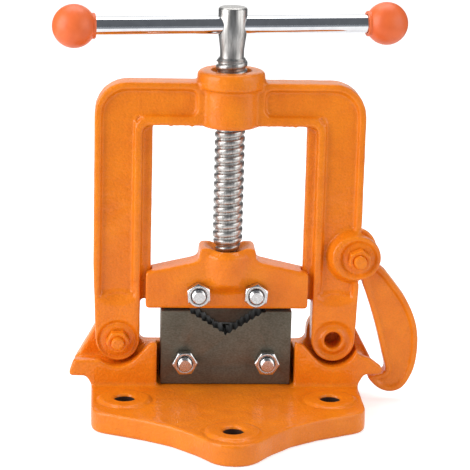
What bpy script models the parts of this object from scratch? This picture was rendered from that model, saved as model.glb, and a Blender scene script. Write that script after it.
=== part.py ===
"""Hinged bench pipe vise, modelled piece by piece in metres.

The frame: X runs towards the hook's side, Y to the back, Z up from the bench face.
The screw's axis is the Z axis, and the bench face lies at Z = 0.
"""
from math import acos, asin, atan2, ceil, cos, pi, radians, sin, sqrt, tan

import bmesh
import bpy
from mathutils import Matrix, Vector

# Clearances and general values
GAP = 0.0003
OVERRUN = 0.004
ARC_STEP = radians(15)
ROUND_STEPS = 32
SMALL_ROUND_STEPS = 20

# Foot of the base
PLATE_THICKNESS = 0.0130
PLATE_HALF_WIDTH = 0.0800
PLATE_BACK = 0.0300
PLATE_BACK_CORNER = 0.0120
NOSE_REACH = 0.1157
PLATE_FRONT_CORNER = 0.0140
CORNER_DEPTH_SHARE = 0.5117
PLATE_CORNER_DEPTH = NOSE_REACH * CORNER_DEPTH_SHARE
WING_DROP_SHARE = 0.3463
WING_SWEEP = atan2(NOSE_REACH * WING_DROP_SHARE, PLATE_HALF_WIDTH)
NOSE_RADIUS_SHARE = 0.1495
NOSE_RADIUS = NOSE_REACH * NOSE_RADIUS_SHARE
NOSE_HALF_ANGLE = radians(36.7)
WAIST_RADIUS_SHARE = 0.6914
WAIST_RADIUS = NOSE_REACH * WAIST_RADIUS_SHARE
BENCH_HOLE_RADIUS = 0.0060
BENCH_PAD_RADIUS = 0.0155
BENCH_PAD_HEIGHT = 0.0012
SIDE_HOLE_INSET = 0.0196
SIDE_HOLE_X = PLATE_HALF_WIDTH - SIDE_HOLE_INSET
SIDE_HOLE_SETBACK = 0.0215
SIDE_HOLE_DEPTH = PLATE_CORNER_DEPTH - SIDE_HOLE_SETBACK
NOSE_HOLE_SETBACK = 0.0230
NOSE_HOLE_DEPTH = NOSE_REACH - NOSE_HOLE_SETBACK

# Hinge pin and the eyes at the foot of the yoke
PIN_X = 0.0645
PIN_RISE = 0.0265
PIN_HEIGHT = PLATE_THICKNESS + PIN_RISE
EYE_RADIUS = 0.0132
EYE_RING_RADIUS = 0.0110
EYE_RING_DEPTH = 0.0008
EYE_HOLE_RADIUS = 0.0050

# Uprights of the base
YOKE_HALF_DEPTH = 0.0080
YOKE_PLAY = 0.0005
FRONT_WALL = 0.0065
REAR_WALL = 0.0105
POCKET_HALF_DEPTH = YOKE_HALF_DEPTH + YOKE_PLAY
UPRIGHT_FRONT = -POCKET_HALF_DEPTH - FRONT_WALL
UPRIGHT_BACK = POCKET_HALF_DEPTH + REAR_WALL
UPRIGHT_INNER_SETBACK = 0.0235
UPRIGHT_INNER_X = PIN_X - UPRIGHT_INNER_SETBACK
UPRIGHT_INNER_RISE = 0.0013
UPRIGHT_INNER_TOP = PIN_HEIGHT + UPRIGHT_INNER_RISE
CRADLE_CLEARANCE = 0.0012
CRADLE_RADIUS = EYE_RADIUS + CRADLE_CLEARANCE
CRADLE_START = radians(222)
SADDLE_CLEARANCE = 0.0020
SADDLE_RADIUS = EYE_RADIUS + SADDLE_CLEARANCE
SADDLE_DROP = 0.0060
FLARE_WIDTH = 0.0046
FLARE_TOP_X = UPRIGHT_INNER_X + FLARE_WIDTH
FLARE_FALL = 0.0014
FLARE_TOP_Z = UPRIGHT_INNER_TOP - FLARE_FALL
HORN_REACH = 0.0164
HORN_TIP_X = PIN_X + EYE_RADIUS + HORN_REACH
HINGE_SHELF = 0.0053
HINGE_HORN_UNDERSIDE = PIN_HEIGHT - SADDLE_RADIUS - HINGE_SHELF
CATCH_HORN_STEP = 0.0014
CATCH_HORN_UNDERSIDE = HINGE_HORN_UNDERSIDE + CATCH_HORN_STEP
HORN_ROOT_SETBACK = 0.0109
HORN_ROOT_X = HORN_TIP_X - HORN_ROOT_SETBACK
UPRIGHT_FOOT_SETBACK = 0.0036
UPRIGHT_FOOT_X = HORN_ROOT_X - UPRIGHT_FOOT_SETBACK
SHOULDER_DROP = 0.0102
SHOULDER_TOP = PIN_HEIGHT - SHOULDER_DROP
SHOULDER_SETBACK = 0.0036
SHOULDER_END_X = HORN_TIP_X - SHOULDER_SETBACK
CREST_DROP = 0.0070
CREST_TOP = PIN_HEIGHT - CREST_DROP
CREST_REACH = 0.0013
CREST_START_X = PIN_X + EYE_RADIUS + CREST_REACH
CREST_LENGTH = 0.0078
CREST_END_X = CREST_START_X + CREST_LENGTH
CREST_FALL = 0.0020
CREST_END_TOP = CREST_TOP - CREST_FALL
CATCH_SETBACK = 0.0078
CATCH_END_X = HORN_TIP_X - CATCH_SETBACK
CATCH_NOSE_RISE = 0.0041
CATCH_NOSE_Z = CATCH_HORN_UNDERSIDE + CATCH_NOSE_RISE
HINGE_EAR_WALL = 0.0002
HINGE_EAR_RADIUS = EYE_RADIUS + HINGE_EAR_WALL
CATCH_EAR_WALL = 0.0016
CATCH_EAR_RADIUS = EYE_RADIUS + CATCH_EAR_WALL
REAR_HORN_SETBACK = 0.0026
REAR_HORN_X = HORN_TIP_X - REAR_HORN_SETBACK
REAR_WALL_DROP = 0.0062
REAR_WALL_TOP = PIN_HEIGHT - REAR_WALL_DROP
REAR_WALL_FILLET = 0.0040

# Jaws
JAW_SIDE_CLEARANCE = 0.0022
JAW_HALF_WIDTH = UPRIGHT_INNER_X - JAW_SIDE_CLEARANCE
JAW_HEIGHT = 0.0456
JAW_TOP = PLATE_THICKNESS + JAW_HEIGHT
JAW_HALF_DEPTH = 0.0110
NOTCH_HALF_WIDTH = 0.0236
NOTCH_DEPTH = 0.0150
NOTCH_TEETH = 7
TOOTH_HEIGHT = 0.0011
WEDGE_HALF_WIDTH = 0.0170
WEDGE_TIP_HALF_WIDTH = 0.0045
WEDGE_BITE = 0.0084
WEDGE_TIP_Z = JAW_TOP - WEDGE_BITE
WEDGE_TEETH = 5
UPPER_JAW_HALF_WIDTH = 0.0224
UPPER_JAW_HALF_DEPTH = 0.0060
CLOSED_JAW_GAP = 0.0013
UPPER_JAW_SEAT = 0.0171
CROSSHEAD_BOTTOM = JAW_TOP + CLOSED_JAW_GAP
JAW_SLOT_TOP = CROSSHEAD_BOTTOM + UPPER_JAW_SEAT
UPPER_JAW_TOP = JAW_SLOT_TOP - GAP

# Bolts and nuts, M8
BOLT_RADIUS = 0.0040
NUT_ACROSS_FLATS = 0.0130
NUT_HEIGHT = 0.0065
BOLT_HEAD_HEIGHT = 0.0053
BOLT_PROUD = 0.0036
LOWER_BOLT_X = 0.0245
LOWER_BOLT_RISE = 0.0149
LOWER_BOLT_Z = PLATE_THICKNESS + LOWER_BOLT_RISE
UPPER_BOLT_X = 0.0170
UPPER_BOLT_RISE = 0.0096
UPPER_BOLT_Z = CROSSHEAD_BOTTOM + UPPER_BOLT_RISE
HINGE_SHANK_RADIUS = 0.0046

# Yoke, placed from the pin
LEG_FLARE = 0.0017
LEG_OUTER_X = PIN_X + EYE_RADIUS + LEG_FLARE
LEG_INNER_STEP = 0.0001
LEG_INNER_X = PIN_X - EYE_RADIUS - LEG_INNER_STEP
LEG_TAPER_HEIGHT = 0.0450
YOKE_RISE = 0.1562
YOKE_TOP = PIN_HEIGHT + YOKE_RISE
YOKE_CORNER_RADIUS = 0.0195
BEAM_HEIGHT = 0.0258
WINDOW_TOP = YOKE_TOP - BEAM_HEIGHT
WINDOW_CORNER_RADIUS = 0.0040
RIB_OUTER = 0.0043
RIB_INNER = 0.0049
RIB_TOP = 0.0045
RIB_BOTTOM = 0.0059
PANEL_RECESS = 0.0030
PANEL_END_WALL = 0.0160
PANEL_END_RADIUS = EYE_RADIUS + PANEL_END_WALL
PANEL_CORNER = 0.0040
RAIL_WIDTH = 0.0061
RAIL_INNER_X = LEG_INNER_X - RAIL_WIDTH
RAIL_HALF_DEPTH = 0.0030
RAIL_FOOT_RISE = 0.0036
RAIL_FOOT = CROSSHEAD_BOTTOM + RAIL_FOOT_RISE
BOSS_RADIUS = 0.0172
BOSS_DROP = 0.0011
BOSS_BOTTOM = WINDOW_TOP - BOSS_DROP
COLLAR_FLANGE = 0.0028
COLLAR_RADIUS = BOSS_RADIUS + COLLAR_FLANGE
COLLAR_SINK = 0.0037
COLLAR_BOTTOM = YOKE_TOP - COLLAR_SINK
COLLAR_HEIGHT = 0.0103
COLLAR_TOP = COLLAR_BOTTOM + COLLAR_HEIGHT
COLLAR_EDGE = 0.0018
BOSS_MOUTH_RADIUS = 0.0118
BOSS_MOUTH_DEPTH = 0.0030

# Hook lug and hook
LUG_SETBACK = 0.0019
LUG_X = LEG_OUTER_X - LUG_SETBACK
LUG_RISE = 0.0525
LUG_Z = PIN_HEIGHT + LUG_RISE
LUG_RADIUS = 0.0134
LUG_CHEEK = 0.0069
LUG_PLAY = 0.0006
HOOK_HALF_DEPTH = 0.0058
LUG_SLOT_HALF_DEPTH = HOOK_HALF_DEPTH + LUG_PLAY
LUG_HALF_DEPTH = LUG_SLOT_HALF_DEPTH + LUG_CHEEK
LUG_RING_RADIUS = 0.0106
HOOK_EYE_RADIUS = 0.0115
HOOK_TOE = 0.0144
HOOK_LENGTH = LUG_Z - CATCH_HORN_UNDERSIDE + HOOK_TOE
HOOK_BULGE = 0.0369
HOOK_RIM = 0.0034
HOOK_RECESS = 0.0012
HOOK_CLEAR_ANGLE = radians(1.9)

# Crosshead
CROSSHEAD_HALF_DEPTH = 0.0100
WING_BACK = 0.0070
SLOT_ROOF = 0.0015
WING_BLOCK_Z = JAW_SLOT_TOP + SLOT_ROOF
CROSSHEAD_SIDE_CLEARANCE = 0.0029
CROSSHEAD_HALF_WIDTH = LEG_INNER_X - CROSSHEAD_SIDE_CLEARANCE
CROSSHEAD_END_HEIGHT = 0.0219
CROSSHEAD_END_TOP = CROSSHEAD_BOTTOM + CROSSHEAD_END_HEIGHT
CROSSHEAD_ROOT_HEIGHT = 0.0291
CROSSHEAD_ROOT_TOP = CROSSHEAD_BOTTOM + CROSSHEAD_ROOT_HEIGHT
CROSSHEAD_HEIGHT = 0.0371
CROSSHEAD_TOP = CROSSHEAD_BOTTOM + CROSSHEAD_HEIGHT
CROSSHEAD_BLOCK_X = 0.0168
BULGE_RADIUS = 0.0155
BULGE_RISE = 0.0098
BULGE_BOTTOM = CROSSHEAD_BOTTOM + BULGE_RISE
BULGE_MOUTH_HEIGHT = 0.0045
BULGE_TOP = CROSSHEAD_TOP - BULGE_MOUTH_HEIGHT
BULGE_MOUTH_RADIUS = 0.0090

# Screw, a single-start right-hand trapezoidal thread
THREAD_PITCH = 0.0050
THREAD_CREST_RADIUS = 0.0094
THREAD_DEPTH = 0.0019
THREAD_ROOT_RADIUS = THREAD_CREST_RADIUS - THREAD_DEPTH
THREAD_LIFT = 0.0004
THREAD_CLEARANCE = 0.0004
THREAD_STEPS = 16
THREAD_FOOT_RISE = 0.0022
THREAD_BOTTOM = CROSSHEAD_TOP + THREAD_FOOT_RISE
THREAD_TOP_RISE = 0.0060
THREAD_TOP = COLLAR_TOP + THREAD_TOP_RISE
JOURNAL_RADIUS = 0.0068
JOURNAL_FLOOR_WALL = 0.0050
JOURNAL_END_PLAY = 0.0004
JOURNAL_FLOOR = JAW_SLOT_TOP + JOURNAL_FLOOR_WALL
JOURNAL_BOTTOM = JOURNAL_FLOOR + JOURNAL_END_PLAY
GROOVE_RADIUS = 0.0046
RETAINER_RADIUS = 0.0020
RETAINER_DEPTH = 0.0085
RETAINER_Z = CROSSHEAD_TOP - RETAINER_DEPTH
NECK_RADIUS = 0.0070
HANDLE_RADIUS = 0.0054
HEAD_WALL = 0.0030
HEAD_RADIUS = HANDLE_RADIUS + HEAD_WALL
NECK_LENGTH = 0.0116
HEAD_BOTTOM = THREAD_TOP + NECK_LENGTH
HEAD_FLOOR = 0.0033
HEAD_ROOF = 0.0051
HANDLE_HEIGHT = HEAD_BOTTOM + HEAD_FLOOR + HANDLE_RADIUS
HEAD_TOP = HANDLE_HEIGHT + HANDLE_RADIUS + HEAD_ROOF
HEAD_EDGE = 0.0012

# Handle
HANDLE_TURN = radians(8)
HANDLE_REACH = 0.0923
KNOB_RADIUS = 0.0127
KNOB_NECK_WALL = 0.0021
KNOB_NECK_RADIUS = HANDLE_RADIUS + KNOB_NECK_WALL
KNOB_NECK_REACH = 0.0120
KNOB_SOCKET_DEPTH = 0.0080

# Colours as linear red, green and blue, then roughness and metallic
ENAMEL = ("orange_enamel", (0.84, 0.20, 0.02), 0.35, 0.0)
KNOB_PAINT = ("orange_knob", (0.80, 0.12, 0.04), 0.5, 0.0)
BLACK_STEEL = ("blackened_steel", (0.09, 0.08, 0.07), 0.55, 0.7)
ZINC = ("zinc_plate", (0.66, 0.66, 0.67), 0.3, 1.0)
SCREW_STEEL = ("bright_steel", (0.60, 0.60, 0.61), 0.3, 1.0)
CHROME = ("chrome", (0.75, 0.76, 0.78), 0.1, 1.0)


def clear_scene():
    for item in list(bpy.data.objects):
        bpy.data.objects.remove(item, do_unlink=True)


def finish_of(spec):
    """The material of a (name, colour, roughness, metallic) row, made once."""
    name, colour, roughness, metallic = spec
    made = bpy.data.materials.get(name)
    if made:
        return made
    made = bpy.data.materials.new(name)
    made.use_nodes = True
    shader = made.node_tree.nodes["Principled BSDF"]
    shader.inputs["Base Color"].default_value = (*colour, 1.0)
    shader.inputs["Roughness"].default_value = roughness
    shader.inputs["Metallic"].default_value = metallic
    return made


def body_from(name, shape):
    """Turn a bmesh into an object, with its normals facing out."""
    bmesh.ops.recalc_face_normals(shape, faces=shape.faces)
    mesh = bpy.data.meshes.new(name)
    shape.to_mesh(mesh)
    shape.free()
    item = bpy.data.objects.new(name, mesh)
    bpy.context.scene.collection.objects.link(item)
    return item


def combine(target, tool, operation):
    """Apply a Boolean of tool on target, and remove the tool."""
    step = target.modifiers.new(operation.title(), 'BOOLEAN')
    step.operation = operation
    step.solver = 'EXACT'
    step.object = tool
    bpy.context.view_layer.update()
    graph = bpy.context.evaluated_depsgraph_get()
    result = bpy.data.meshes.new_from_object(target.evaluated_get(graph))
    target.modifiers.clear()
    target.data = result
    bpy.data.objects.remove(tool, do_unlink=True)
    return target


def weld(target, *tools):
    for tool in tools:
        combine(target, tool, 'UNION')
    return target


def cut(target, *tools):
    for tool in tools:
        combine(target, tool, 'DIFFERENCE')
    return target


def dress(item, spec, smooth=True):
    """Give a finished piece its material and its shading."""
    item.data.materials.clear()
    item.data.materials.append(finish_of(spec))
    if smooth:
        item.data.shade_smooth()
        item.data.set_sharp_from_angle(angle=radians(30))
    return item


def arc(centre_u, centre_v, radius, start, end):
    """Points on an arc, both ends included."""
    steps = max(1, ceil(abs(end - start) / ARC_STEP))
    turns = [start + (end - start) * step / steps for step in range(steps + 1)]
    return [(centre_u + radius * cos(turn), centre_v + radius * sin(turn)) for turn in turns]


def rounded(corners):
    """Outline in which each corner (u, v, radius) becomes a tangent arc; plain (u, v) points stay."""
    points = []
    for index, corner in enumerate(corners):
        here = Vector(corner[:2])
        if len(corner) == 2 or corner[2] == 0:
            points.append(tuple(here))
            continue
        radius = corner[2]
        back = (Vector(corners[index - 1][:2]) - here).normalized()
        ahead = (Vector(corners[(index + 1) % len(corners)][:2]) - here).normalized()
        half = back.angle(ahead) / 2
        centre = here + (back + ahead).normalized() * (radius / sin(half))
        first = here + back * (radius / tan(half)) - centre
        last = here + ahead * (radius / tan(half)) - centre
        start = atan2(first.y, first.x)
        turn = (atan2(last.y, last.x) - start + pi) % (2 * pi) - pi
        points += arc(centre.x, centre.y, radius, start, start + turn)
    return points


def mirrored(points):
    return [(-u, v) for u, v in reversed(points)]


def prism(name, outline, low, high, along='Y'):
    """Extrude an outline of (x, z) points along Y, or of (x, y) points along Z."""
    shape = bmesh.new()
    if along == 'Y':
        ring = [shape.verts.new((u, low, v)) for u, v in outline]
        push = Vector((0, high - low, 0))
    else:
        ring = [shape.verts.new((u, v, low)) for u, v in outline]
        push = Vector((0, 0, high - low))
    face = shape.faces.new(ring)
    grown = bmesh.ops.extrude_face_region(shape, geom=[face], use_keep_orig=True)
    moved = [part for part in grown["geom"] if isinstance(part, bmesh.types.BMVert)]
    bmesh.ops.translate(shape, verts=moved, vec=push)
    return body_from(name, shape)


def turned(name, profile, steps=ROUND_STEPS):
    """Spin a profile of (radius, height) points, which starts and ends on the axis, about Z."""
    shape = bmesh.new()
    line = [shape.verts.new((radius, 0, height)) for radius, height in profile]
    edges = [shape.edges.new(pair) for pair in zip(line, line[1:])]
    bmesh.ops.spin(shape, geom=line + edges, cent=(0, 0, 0), axis=(0, 0, 1), dvec=(0, 0, 0),
                   angle=2 * pi, steps=steps, use_merge=True, use_duplicate=False)
    bmesh.ops.remove_doubles(shape, verts=shape.verts, dist=GAP / 100)
    return body_from(name, shape)


def placed(item, matrix):
    """Bake a placement into a piece's mesh."""
    item.data.transform(matrix)
    return item


def round_bar(name, radius, low, high, steps=SMALL_ROUND_STEPS):
    return turned(name, [(0, low), (radius, low), (radius, high), (0, high)], steps)


def across(item, x, z):
    """Lay a piece that was made along Z along the Y axis, at x and z."""
    return placed(item, Matrix.Translation((x, 0, z)) @ Matrix.Rotation(-pi / 2, 4, 'X'))


def drill(name, x, z, radius, front, back, steps=SMALL_ROUND_STEPS):
    """A round cutter or pin along Y."""
    return across(round_bar(name, radius, front, back, steps), x, z)


def hexagon(across_flats):
    """A hexagon with a corner at the top and upright flats at the sides."""
    corner_radius = across_flats / 2 / cos(pi / 6)
    return [(corner_radius * cos(turn), corner_radius * sin(turn))
            for turn in (pi / 2 + pi / 3 * side for side in range(6))]


def hex_prism(name, x, z, front, back):
    outline = [(x + u, z + v) for u, v in hexagon(NUT_ACROSS_FLATS)]
    return prism(name, outline, front, back)


def threaded_rod(name, grow, bottom, top):
    """A rod with the screw's thread all along it, grown all round by a clearance."""
    crest = THREAD_CREST_RADIUS + grow
    root = THREAD_ROOT_RADIUS + grow
    crest_share, flank_share = 0.36, 0.14
    rise = THREAD_PITCH * flank_share
    land = THREAD_PITCH * crest_share + 2 * grow
    turns = ceil((top - bottom) / THREAD_PITCH) + 2
    foot = THREAD_PITCH * (round(bottom / THREAD_PITCH) - 1) + THREAD_LIFT
    middle = foot + THREAD_PITCH / 2
    heights = [(root, foot), (root, middle - land / 2 - rise), (crest, middle - land / 2),
               (crest, middle + land / 2), (root, middle + land / 2 + rise), (root, foot + THREAD_PITCH)]
    shape = bmesh.new()
    line = [shape.verts.new((radius, 0, height)) for radius, height in heights]
    edges = [shape.edges.new(pair) for pair in zip(line, line[1:])]
    bmesh.ops.spin(shape, geom=line + edges, cent=(0, 0, 0), axis=(0, 0, 1),
                   dvec=(0, 0, THREAD_PITCH / THREAD_STEPS), angle=2 * pi * turns,
                   steps=THREAD_STEPS * turns, use_merge=False, use_duplicate=False)
    bmesh.ops.remove_doubles(shape, verts=shape.verts, dist=GAP / 100)
    for height, upward in ((bottom, -1), (top, 1)):
        everything = shape.verts[:] + shape.edges[:] + shape.faces[:]
        bmesh.ops.bisect_plane(shape, geom=everything, dist=0, plane_co=(0, 0, height),
                               plane_no=(0, 0, upward), clear_outer=True, clear_inner=False)
    rims = [edge for edge in shape.edges if edge.is_boundary]
    bmesh.ops.holes_fill(shape, edges=rims, sides=0)
    bmesh.ops.triangulate(shape, faces=[face for face in shape.faces if len(face.verts) > 4])
    return body_from(name, shape)


def foot_outline():
    """Plan of the foot: a straight back, two wings and a round nose."""
    flank = pi / 2 - NOSE_HALF_ANGLE
    vertex_y = -(NOSE_REACH - NOSE_RADIUS) - NOSE_RADIUS / sin(NOSE_HALF_ANGLE)
    corner_y = -PLATE_CORNER_DEPTH
    waist_x = (corner_y - PLATE_HALF_WIDTH * tan(WING_SWEEP) - vertex_y) / (tan(flank) - tan(WING_SWEEP))
    waist_y = vertex_y + waist_x * tan(flank)
    return rounded([
        (PLATE_HALF_WIDTH, PLATE_BACK, PLATE_BACK_CORNER),
        (-PLATE_HALF_WIDTH, PLATE_BACK, PLATE_BACK_CORNER),
        (-PLATE_HALF_WIDTH, corner_y, PLATE_FRONT_CORNER),
        (-waist_x, waist_y, WAIST_RADIUS),
        (0, vertex_y, NOSE_RADIUS),
        (waist_x, waist_y, WAIST_RADIUS),
        (PLATE_HALF_WIDTH, corner_y, PLATE_FRONT_CORNER),
    ])


def upright_foot(drop=0):
    """The outline's start, sunk in the foot, and the flare above the cradle's inner side."""
    sunk = PLATE_THICKNESS / 2
    inner_round = PLATE_THICKNESS / 9
    flare_round = PLATE_THICKNESS / 3
    return [(UPRIGHT_FOOT_X - GAP, sunk), (UPRIGHT_INNER_X, sunk),
            (UPRIGHT_INNER_X, UPRIGHT_INNER_TOP - drop, inner_round),
            (FLARE_TOP_X, FLARE_TOP_Z - drop, flare_round)]


def horn_underside(tip_x, height):
    """From a horn's tip back to the upright's side and down to the foot."""
    soft = PLATE_THICKNESS / 7
    fillet = PLATE_THICKNESS / 5
    return [(tip_x, height, soft), (HORN_ROOT_X, height, fillet), (UPRIGHT_FOOT_X, PLATE_THICKNESS)]


def shoulder_outline():
    """Front wall beside the hinge: the cradle, a flat shoulder and the horn."""
    cradle_end = 2 * pi - asin((PIN_HEIGHT - SHOULDER_TOP) / CRADLE_RADIUS)
    return (upright_foot() + arc(PIN_X, PIN_HEIGHT, CRADLE_RADIUS, CRADLE_START, cradle_end)
            + [(SHOULDER_END_X, SHOULDER_TOP, HORN_ROOT_X / 40)]
            + horn_underside(HORN_TIP_X, HINGE_HORN_UNDERSIDE))


def crest_outline(cradle_radius, drop, tip_x, underside):
    """Wall beside the hook: the cradle, a rounded crest and the horn."""
    cradle_end = 2 * pi - acos((CREST_START_X - PIN_X) / SADDLE_RADIUS)
    soft = CREST_TOP / 6
    nose = [(CREST_END_X + (tip_x - HORN_TIP_X) / 2, CREST_END_TOP, soft), (tip_x, CATCH_NOSE_Z, GAP * 4)]
    return (upright_foot(drop) + arc(PIN_X, PIN_HEIGHT, cradle_radius, CRADLE_START, cradle_end)
            + [(CREST_START_X, CREST_TOP, soft)] + nose + horn_underside(tip_x, underside))


def saddle_outline():
    """Web under the hinge eye, low enough outside for the yoke's leg to lie down on it."""
    floor = PIN_HEIGHT - SADDLE_RADIUS
    return (upright_foot(SADDLE_DROP) + arc(PIN_X, PIN_HEIGHT, SADDLE_RADIUS, CRADLE_START, 3 * pi / 2)
            + [(SHOULDER_END_X, floor, GAP * 4)] + horn_underside(SHOULDER_END_X, HINGE_HORN_UNDERSIDE + GAP))


def rear_half_outline(ear_radius, underside):
    """Half of the rear wall: its top, a fillet, the ear behind the eye and the horn outside."""
    away = Vector((REAR_HORN_X - PIN_X, underside - PIN_HEIGHT))
    slope = atan2(away.y, away.x) + acos(ear_radius / away.length)
    reach = ear_radius + REAR_WALL_FILLET
    rise = REAR_WALL_TOP + REAR_WALL_FILLET - PIN_HEIGHT
    fillet_x = PIN_X - sqrt(reach ** 2 - rise ** 2)
    facing = atan2(-rise, PIN_X - fillet_x)
    fillet = arc(fillet_x, REAR_WALL_TOP + REAR_WALL_FILLET, REAR_WALL_FILLET, -pi / 2, facing)
    ear = arc(PIN_X, PIN_HEIGHT, ear_radius, facing + pi, slope)
    horn = rounded([ear[-1], (REAR_HORN_X, underside, GAP * 4),
                    (HORN_ROOT_X, underside, REAR_WALL_FILLET / 2), (UPRIGHT_FOOT_X, PLATE_THICKNESS)])
    return fillet + ear[1:] + horn[1:] + [(UPRIGHT_FOOT_X - GAP, PLATE_THICKNESS / 2)]


def rear_outline():
    """Rear wall from the hook's side to the hinge's side."""
    return (rear_half_outline(CATCH_EAR_RADIUS, CATCH_HORN_UNDERSIDE)
            + mirrored(rear_half_outline(HINGE_EAR_RADIUS, HINGE_HORN_UNDERSIDE)))


def bench_holes():
    return [(-SIDE_HOLE_X, -SIDE_HOLE_DEPTH), (SIDE_HOLE_X, -SIDE_HOLE_DEPTH), (0, -NOSE_HOLE_DEPTH)]


def upright(name, outline, front, back, side):
    points = rounded(outline)
    return prism(name, points if side > 0 else mirrored(points), front, back)


def make_base():
    base = prism("base_casting", foot_outline(), 0, PLATE_THICKNESS, 'Z')
    lap = OVERRUN * 3 / 4
    parts = [
        upright("left_front", shoulder_outline(), UPRIGHT_FRONT, -POCKET_HALF_DEPTH, -1),
        upright("right_front", crest_outline(CRADLE_RADIUS, 0, HORN_TIP_X, CATCH_HORN_UNDERSIDE),
                UPRIGHT_FRONT, -POCKET_HALF_DEPTH, 1),
        upright("left_saddle", saddle_outline(),
                -POCKET_HALF_DEPTH - lap, POCKET_HALF_DEPTH + lap, -1),
        upright("right_saddle",
                crest_outline(SADDLE_RADIUS, SADDLE_DROP, CATCH_END_X, CATCH_HORN_UNDERSIDE + GAP),
                -POCKET_HALF_DEPTH - lap, POCKET_HALF_DEPTH + lap, 1),
        prism("rear_wall", rear_outline(), POCKET_HALF_DEPTH, UPRIGHT_BACK),
    ]
    weld(base, *parts)
    pads = []
    for x, y in bench_holes():
        pad = round_bar("pad", BENCH_PAD_RADIUS, PLATE_THICKNESS / 2, PLATE_THICKNESS + BENCH_PAD_HEIGHT,
                        ROUND_STEPS)
        pads.append(placed(pad, Matrix.Translation((x, y, 0))))
    weld(base, *pads)
    jaw_seat = prism("jaw_seat", [(-UPRIGHT_INNER_X, PLATE_THICKNESS), (UPRIGHT_INNER_X, PLATE_THICKNESS),
                                  (UPRIGHT_INNER_X, JAW_TOP), (-UPRIGHT_INNER_X, JAW_TOP)],
                     UPRIGHT_FRONT - OVERRUN, JAW_HALF_DEPTH + GAP)
    cut(base, jaw_seat)
    for x, y in bench_holes():
        hole = round_bar("hole", BENCH_HOLE_RADIUS, -OVERRUN, PLATE_THICKNESS + OVERRUN)
        cut(base, placed(hole, Matrix.Translation((x, y, 0))))
    for side in (-1, 1):
        cut(base, drill("bolt_hole", side * LOWER_BOLT_X, LOWER_BOLT_Z, BOLT_RADIUS + GAP,
                        0, UPRIGHT_BACK + OVERRUN))
    cut(base, drill("pin_hole", -PIN_X, PIN_HEIGHT, HINGE_SHANK_RADIUS + GAP,
                    0, UPRIGHT_BACK + OVERRUN))
    return dress(base, ENAMEL)


def toothed_line(start, end, teeth, height):
    """A run of triangular teeth from start to end; positive height lies to the run's left."""
    start, end = Vector(start), Vector(end)
    step = (end - start) / teeth
    out = Vector((-step.y, step.x)).normalized() * height
    peak_share, valley_share = 0.35, 0.70
    points = []
    for tooth in range(teeth):
        foot = start + step * tooth
        points += [tuple(foot + step * peak_share + out), tuple(foot + step * valley_share)]
    return points


def make_lower_jaw():
    left_top = (-NOTCH_HALF_WIDTH, JAW_TOP)
    valley = (0, JAW_TOP - NOTCH_DEPTH)
    right_top = (NOTCH_HALF_WIDTH, JAW_TOP)
    seat = PLATE_THICKNESS + GAP
    outline = ([(JAW_HALF_WIDTH, JAW_TOP), (JAW_HALF_WIDTH, seat), (-JAW_HALF_WIDTH, seat),
                (-JAW_HALF_WIDTH, JAW_TOP), left_top]
               + toothed_line(left_top, valley, NOTCH_TEETH, TOOTH_HEIGHT) + [valley]
               + toothed_line(valley, right_top, NOTCH_TEETH, TOOTH_HEIGHT) + [right_top])
    jaw = prism("lower_jaw", outline, -JAW_HALF_DEPTH, JAW_HALF_DEPTH)
    for side in (-1, 1):
        cut(jaw, drill("bolt_hole", side * LOWER_BOLT_X, LOWER_BOLT_Z, BOLT_RADIUS + GAP,
                       -JAW_HALF_DEPTH - OVERRUN, JAW_HALF_DEPTH + OVERRUN))
    return dress(jaw, BLACK_STEEL, smooth=False)


def make_upper_jaw():
    left_root = (-WEDGE_HALF_WIDTH, CROSSHEAD_BOTTOM)
    right_root = (WEDGE_HALF_WIDTH, CROSSHEAD_BOTTOM)
    left_tip = (-WEDGE_TIP_HALF_WIDTH, WEDGE_TIP_Z)
    right_tip = (WEDGE_TIP_HALF_WIDTH, WEDGE_TIP_Z)
    outline = ([(-UPPER_JAW_HALF_WIDTH, UPPER_JAW_TOP), (-UPPER_JAW_HALF_WIDTH, CROSSHEAD_BOTTOM), left_root]
               + toothed_line(left_root, left_tip, WEDGE_TEETH, -TOOTH_HEIGHT) + [left_tip, right_tip]
               + toothed_line(right_tip, right_root, WEDGE_TEETH, -TOOTH_HEIGHT)
               + [right_root, (UPPER_JAW_HALF_WIDTH, CROSSHEAD_BOTTOM), (UPPER_JAW_HALF_WIDTH, UPPER_JAW_TOP)])
    jaw = prism("upper_jaw", outline, -UPPER_JAW_HALF_DEPTH, UPPER_JAW_HALF_DEPTH)
    for side in (-1, 1):
        cut(jaw, drill("bolt_hole", side * UPPER_BOLT_X, UPPER_BOLT_Z, BOLT_RADIUS + GAP,
                       -UPPER_JAW_HALF_DEPTH - OVERRUN, UPPER_JAW_HALF_DEPTH + OVERRUN))
    return dress(jaw, BLACK_STEEL, smooth=False)


def make_bolt(name, x, z, front_seat, back_seat, spec, shank_radius=BOLT_RADIUS):
    """A hexagon bolt along Y: head at the back, thread through the nut at the front."""
    end = front_seat - GAP - NUT_HEIGHT - BOLT_PROUD
    edge = BOLT_RADIUS / 6
    head = back_seat + GAP
    shank = [(0, end), (BOLT_RADIUS - edge, end), (BOLT_RADIUS, end + edge)]
    if shank_radius > BOLT_RADIUS:
        shank += [(BOLT_RADIUS, front_seat + GAP), (shank_radius, front_seat + GAP)]
    shank += [(shank_radius, head + BOLT_HEAD_HEIGHT / 2), (0, head + BOLT_HEAD_HEIGHT / 2)]
    bolt = across(turned(name, shank, SMALL_ROUND_STEPS), x, z)
    weld(bolt, hex_prism("head", x, z, head, head + BOLT_HEAD_HEIGHT))
    return dress(bolt, spec)


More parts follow.
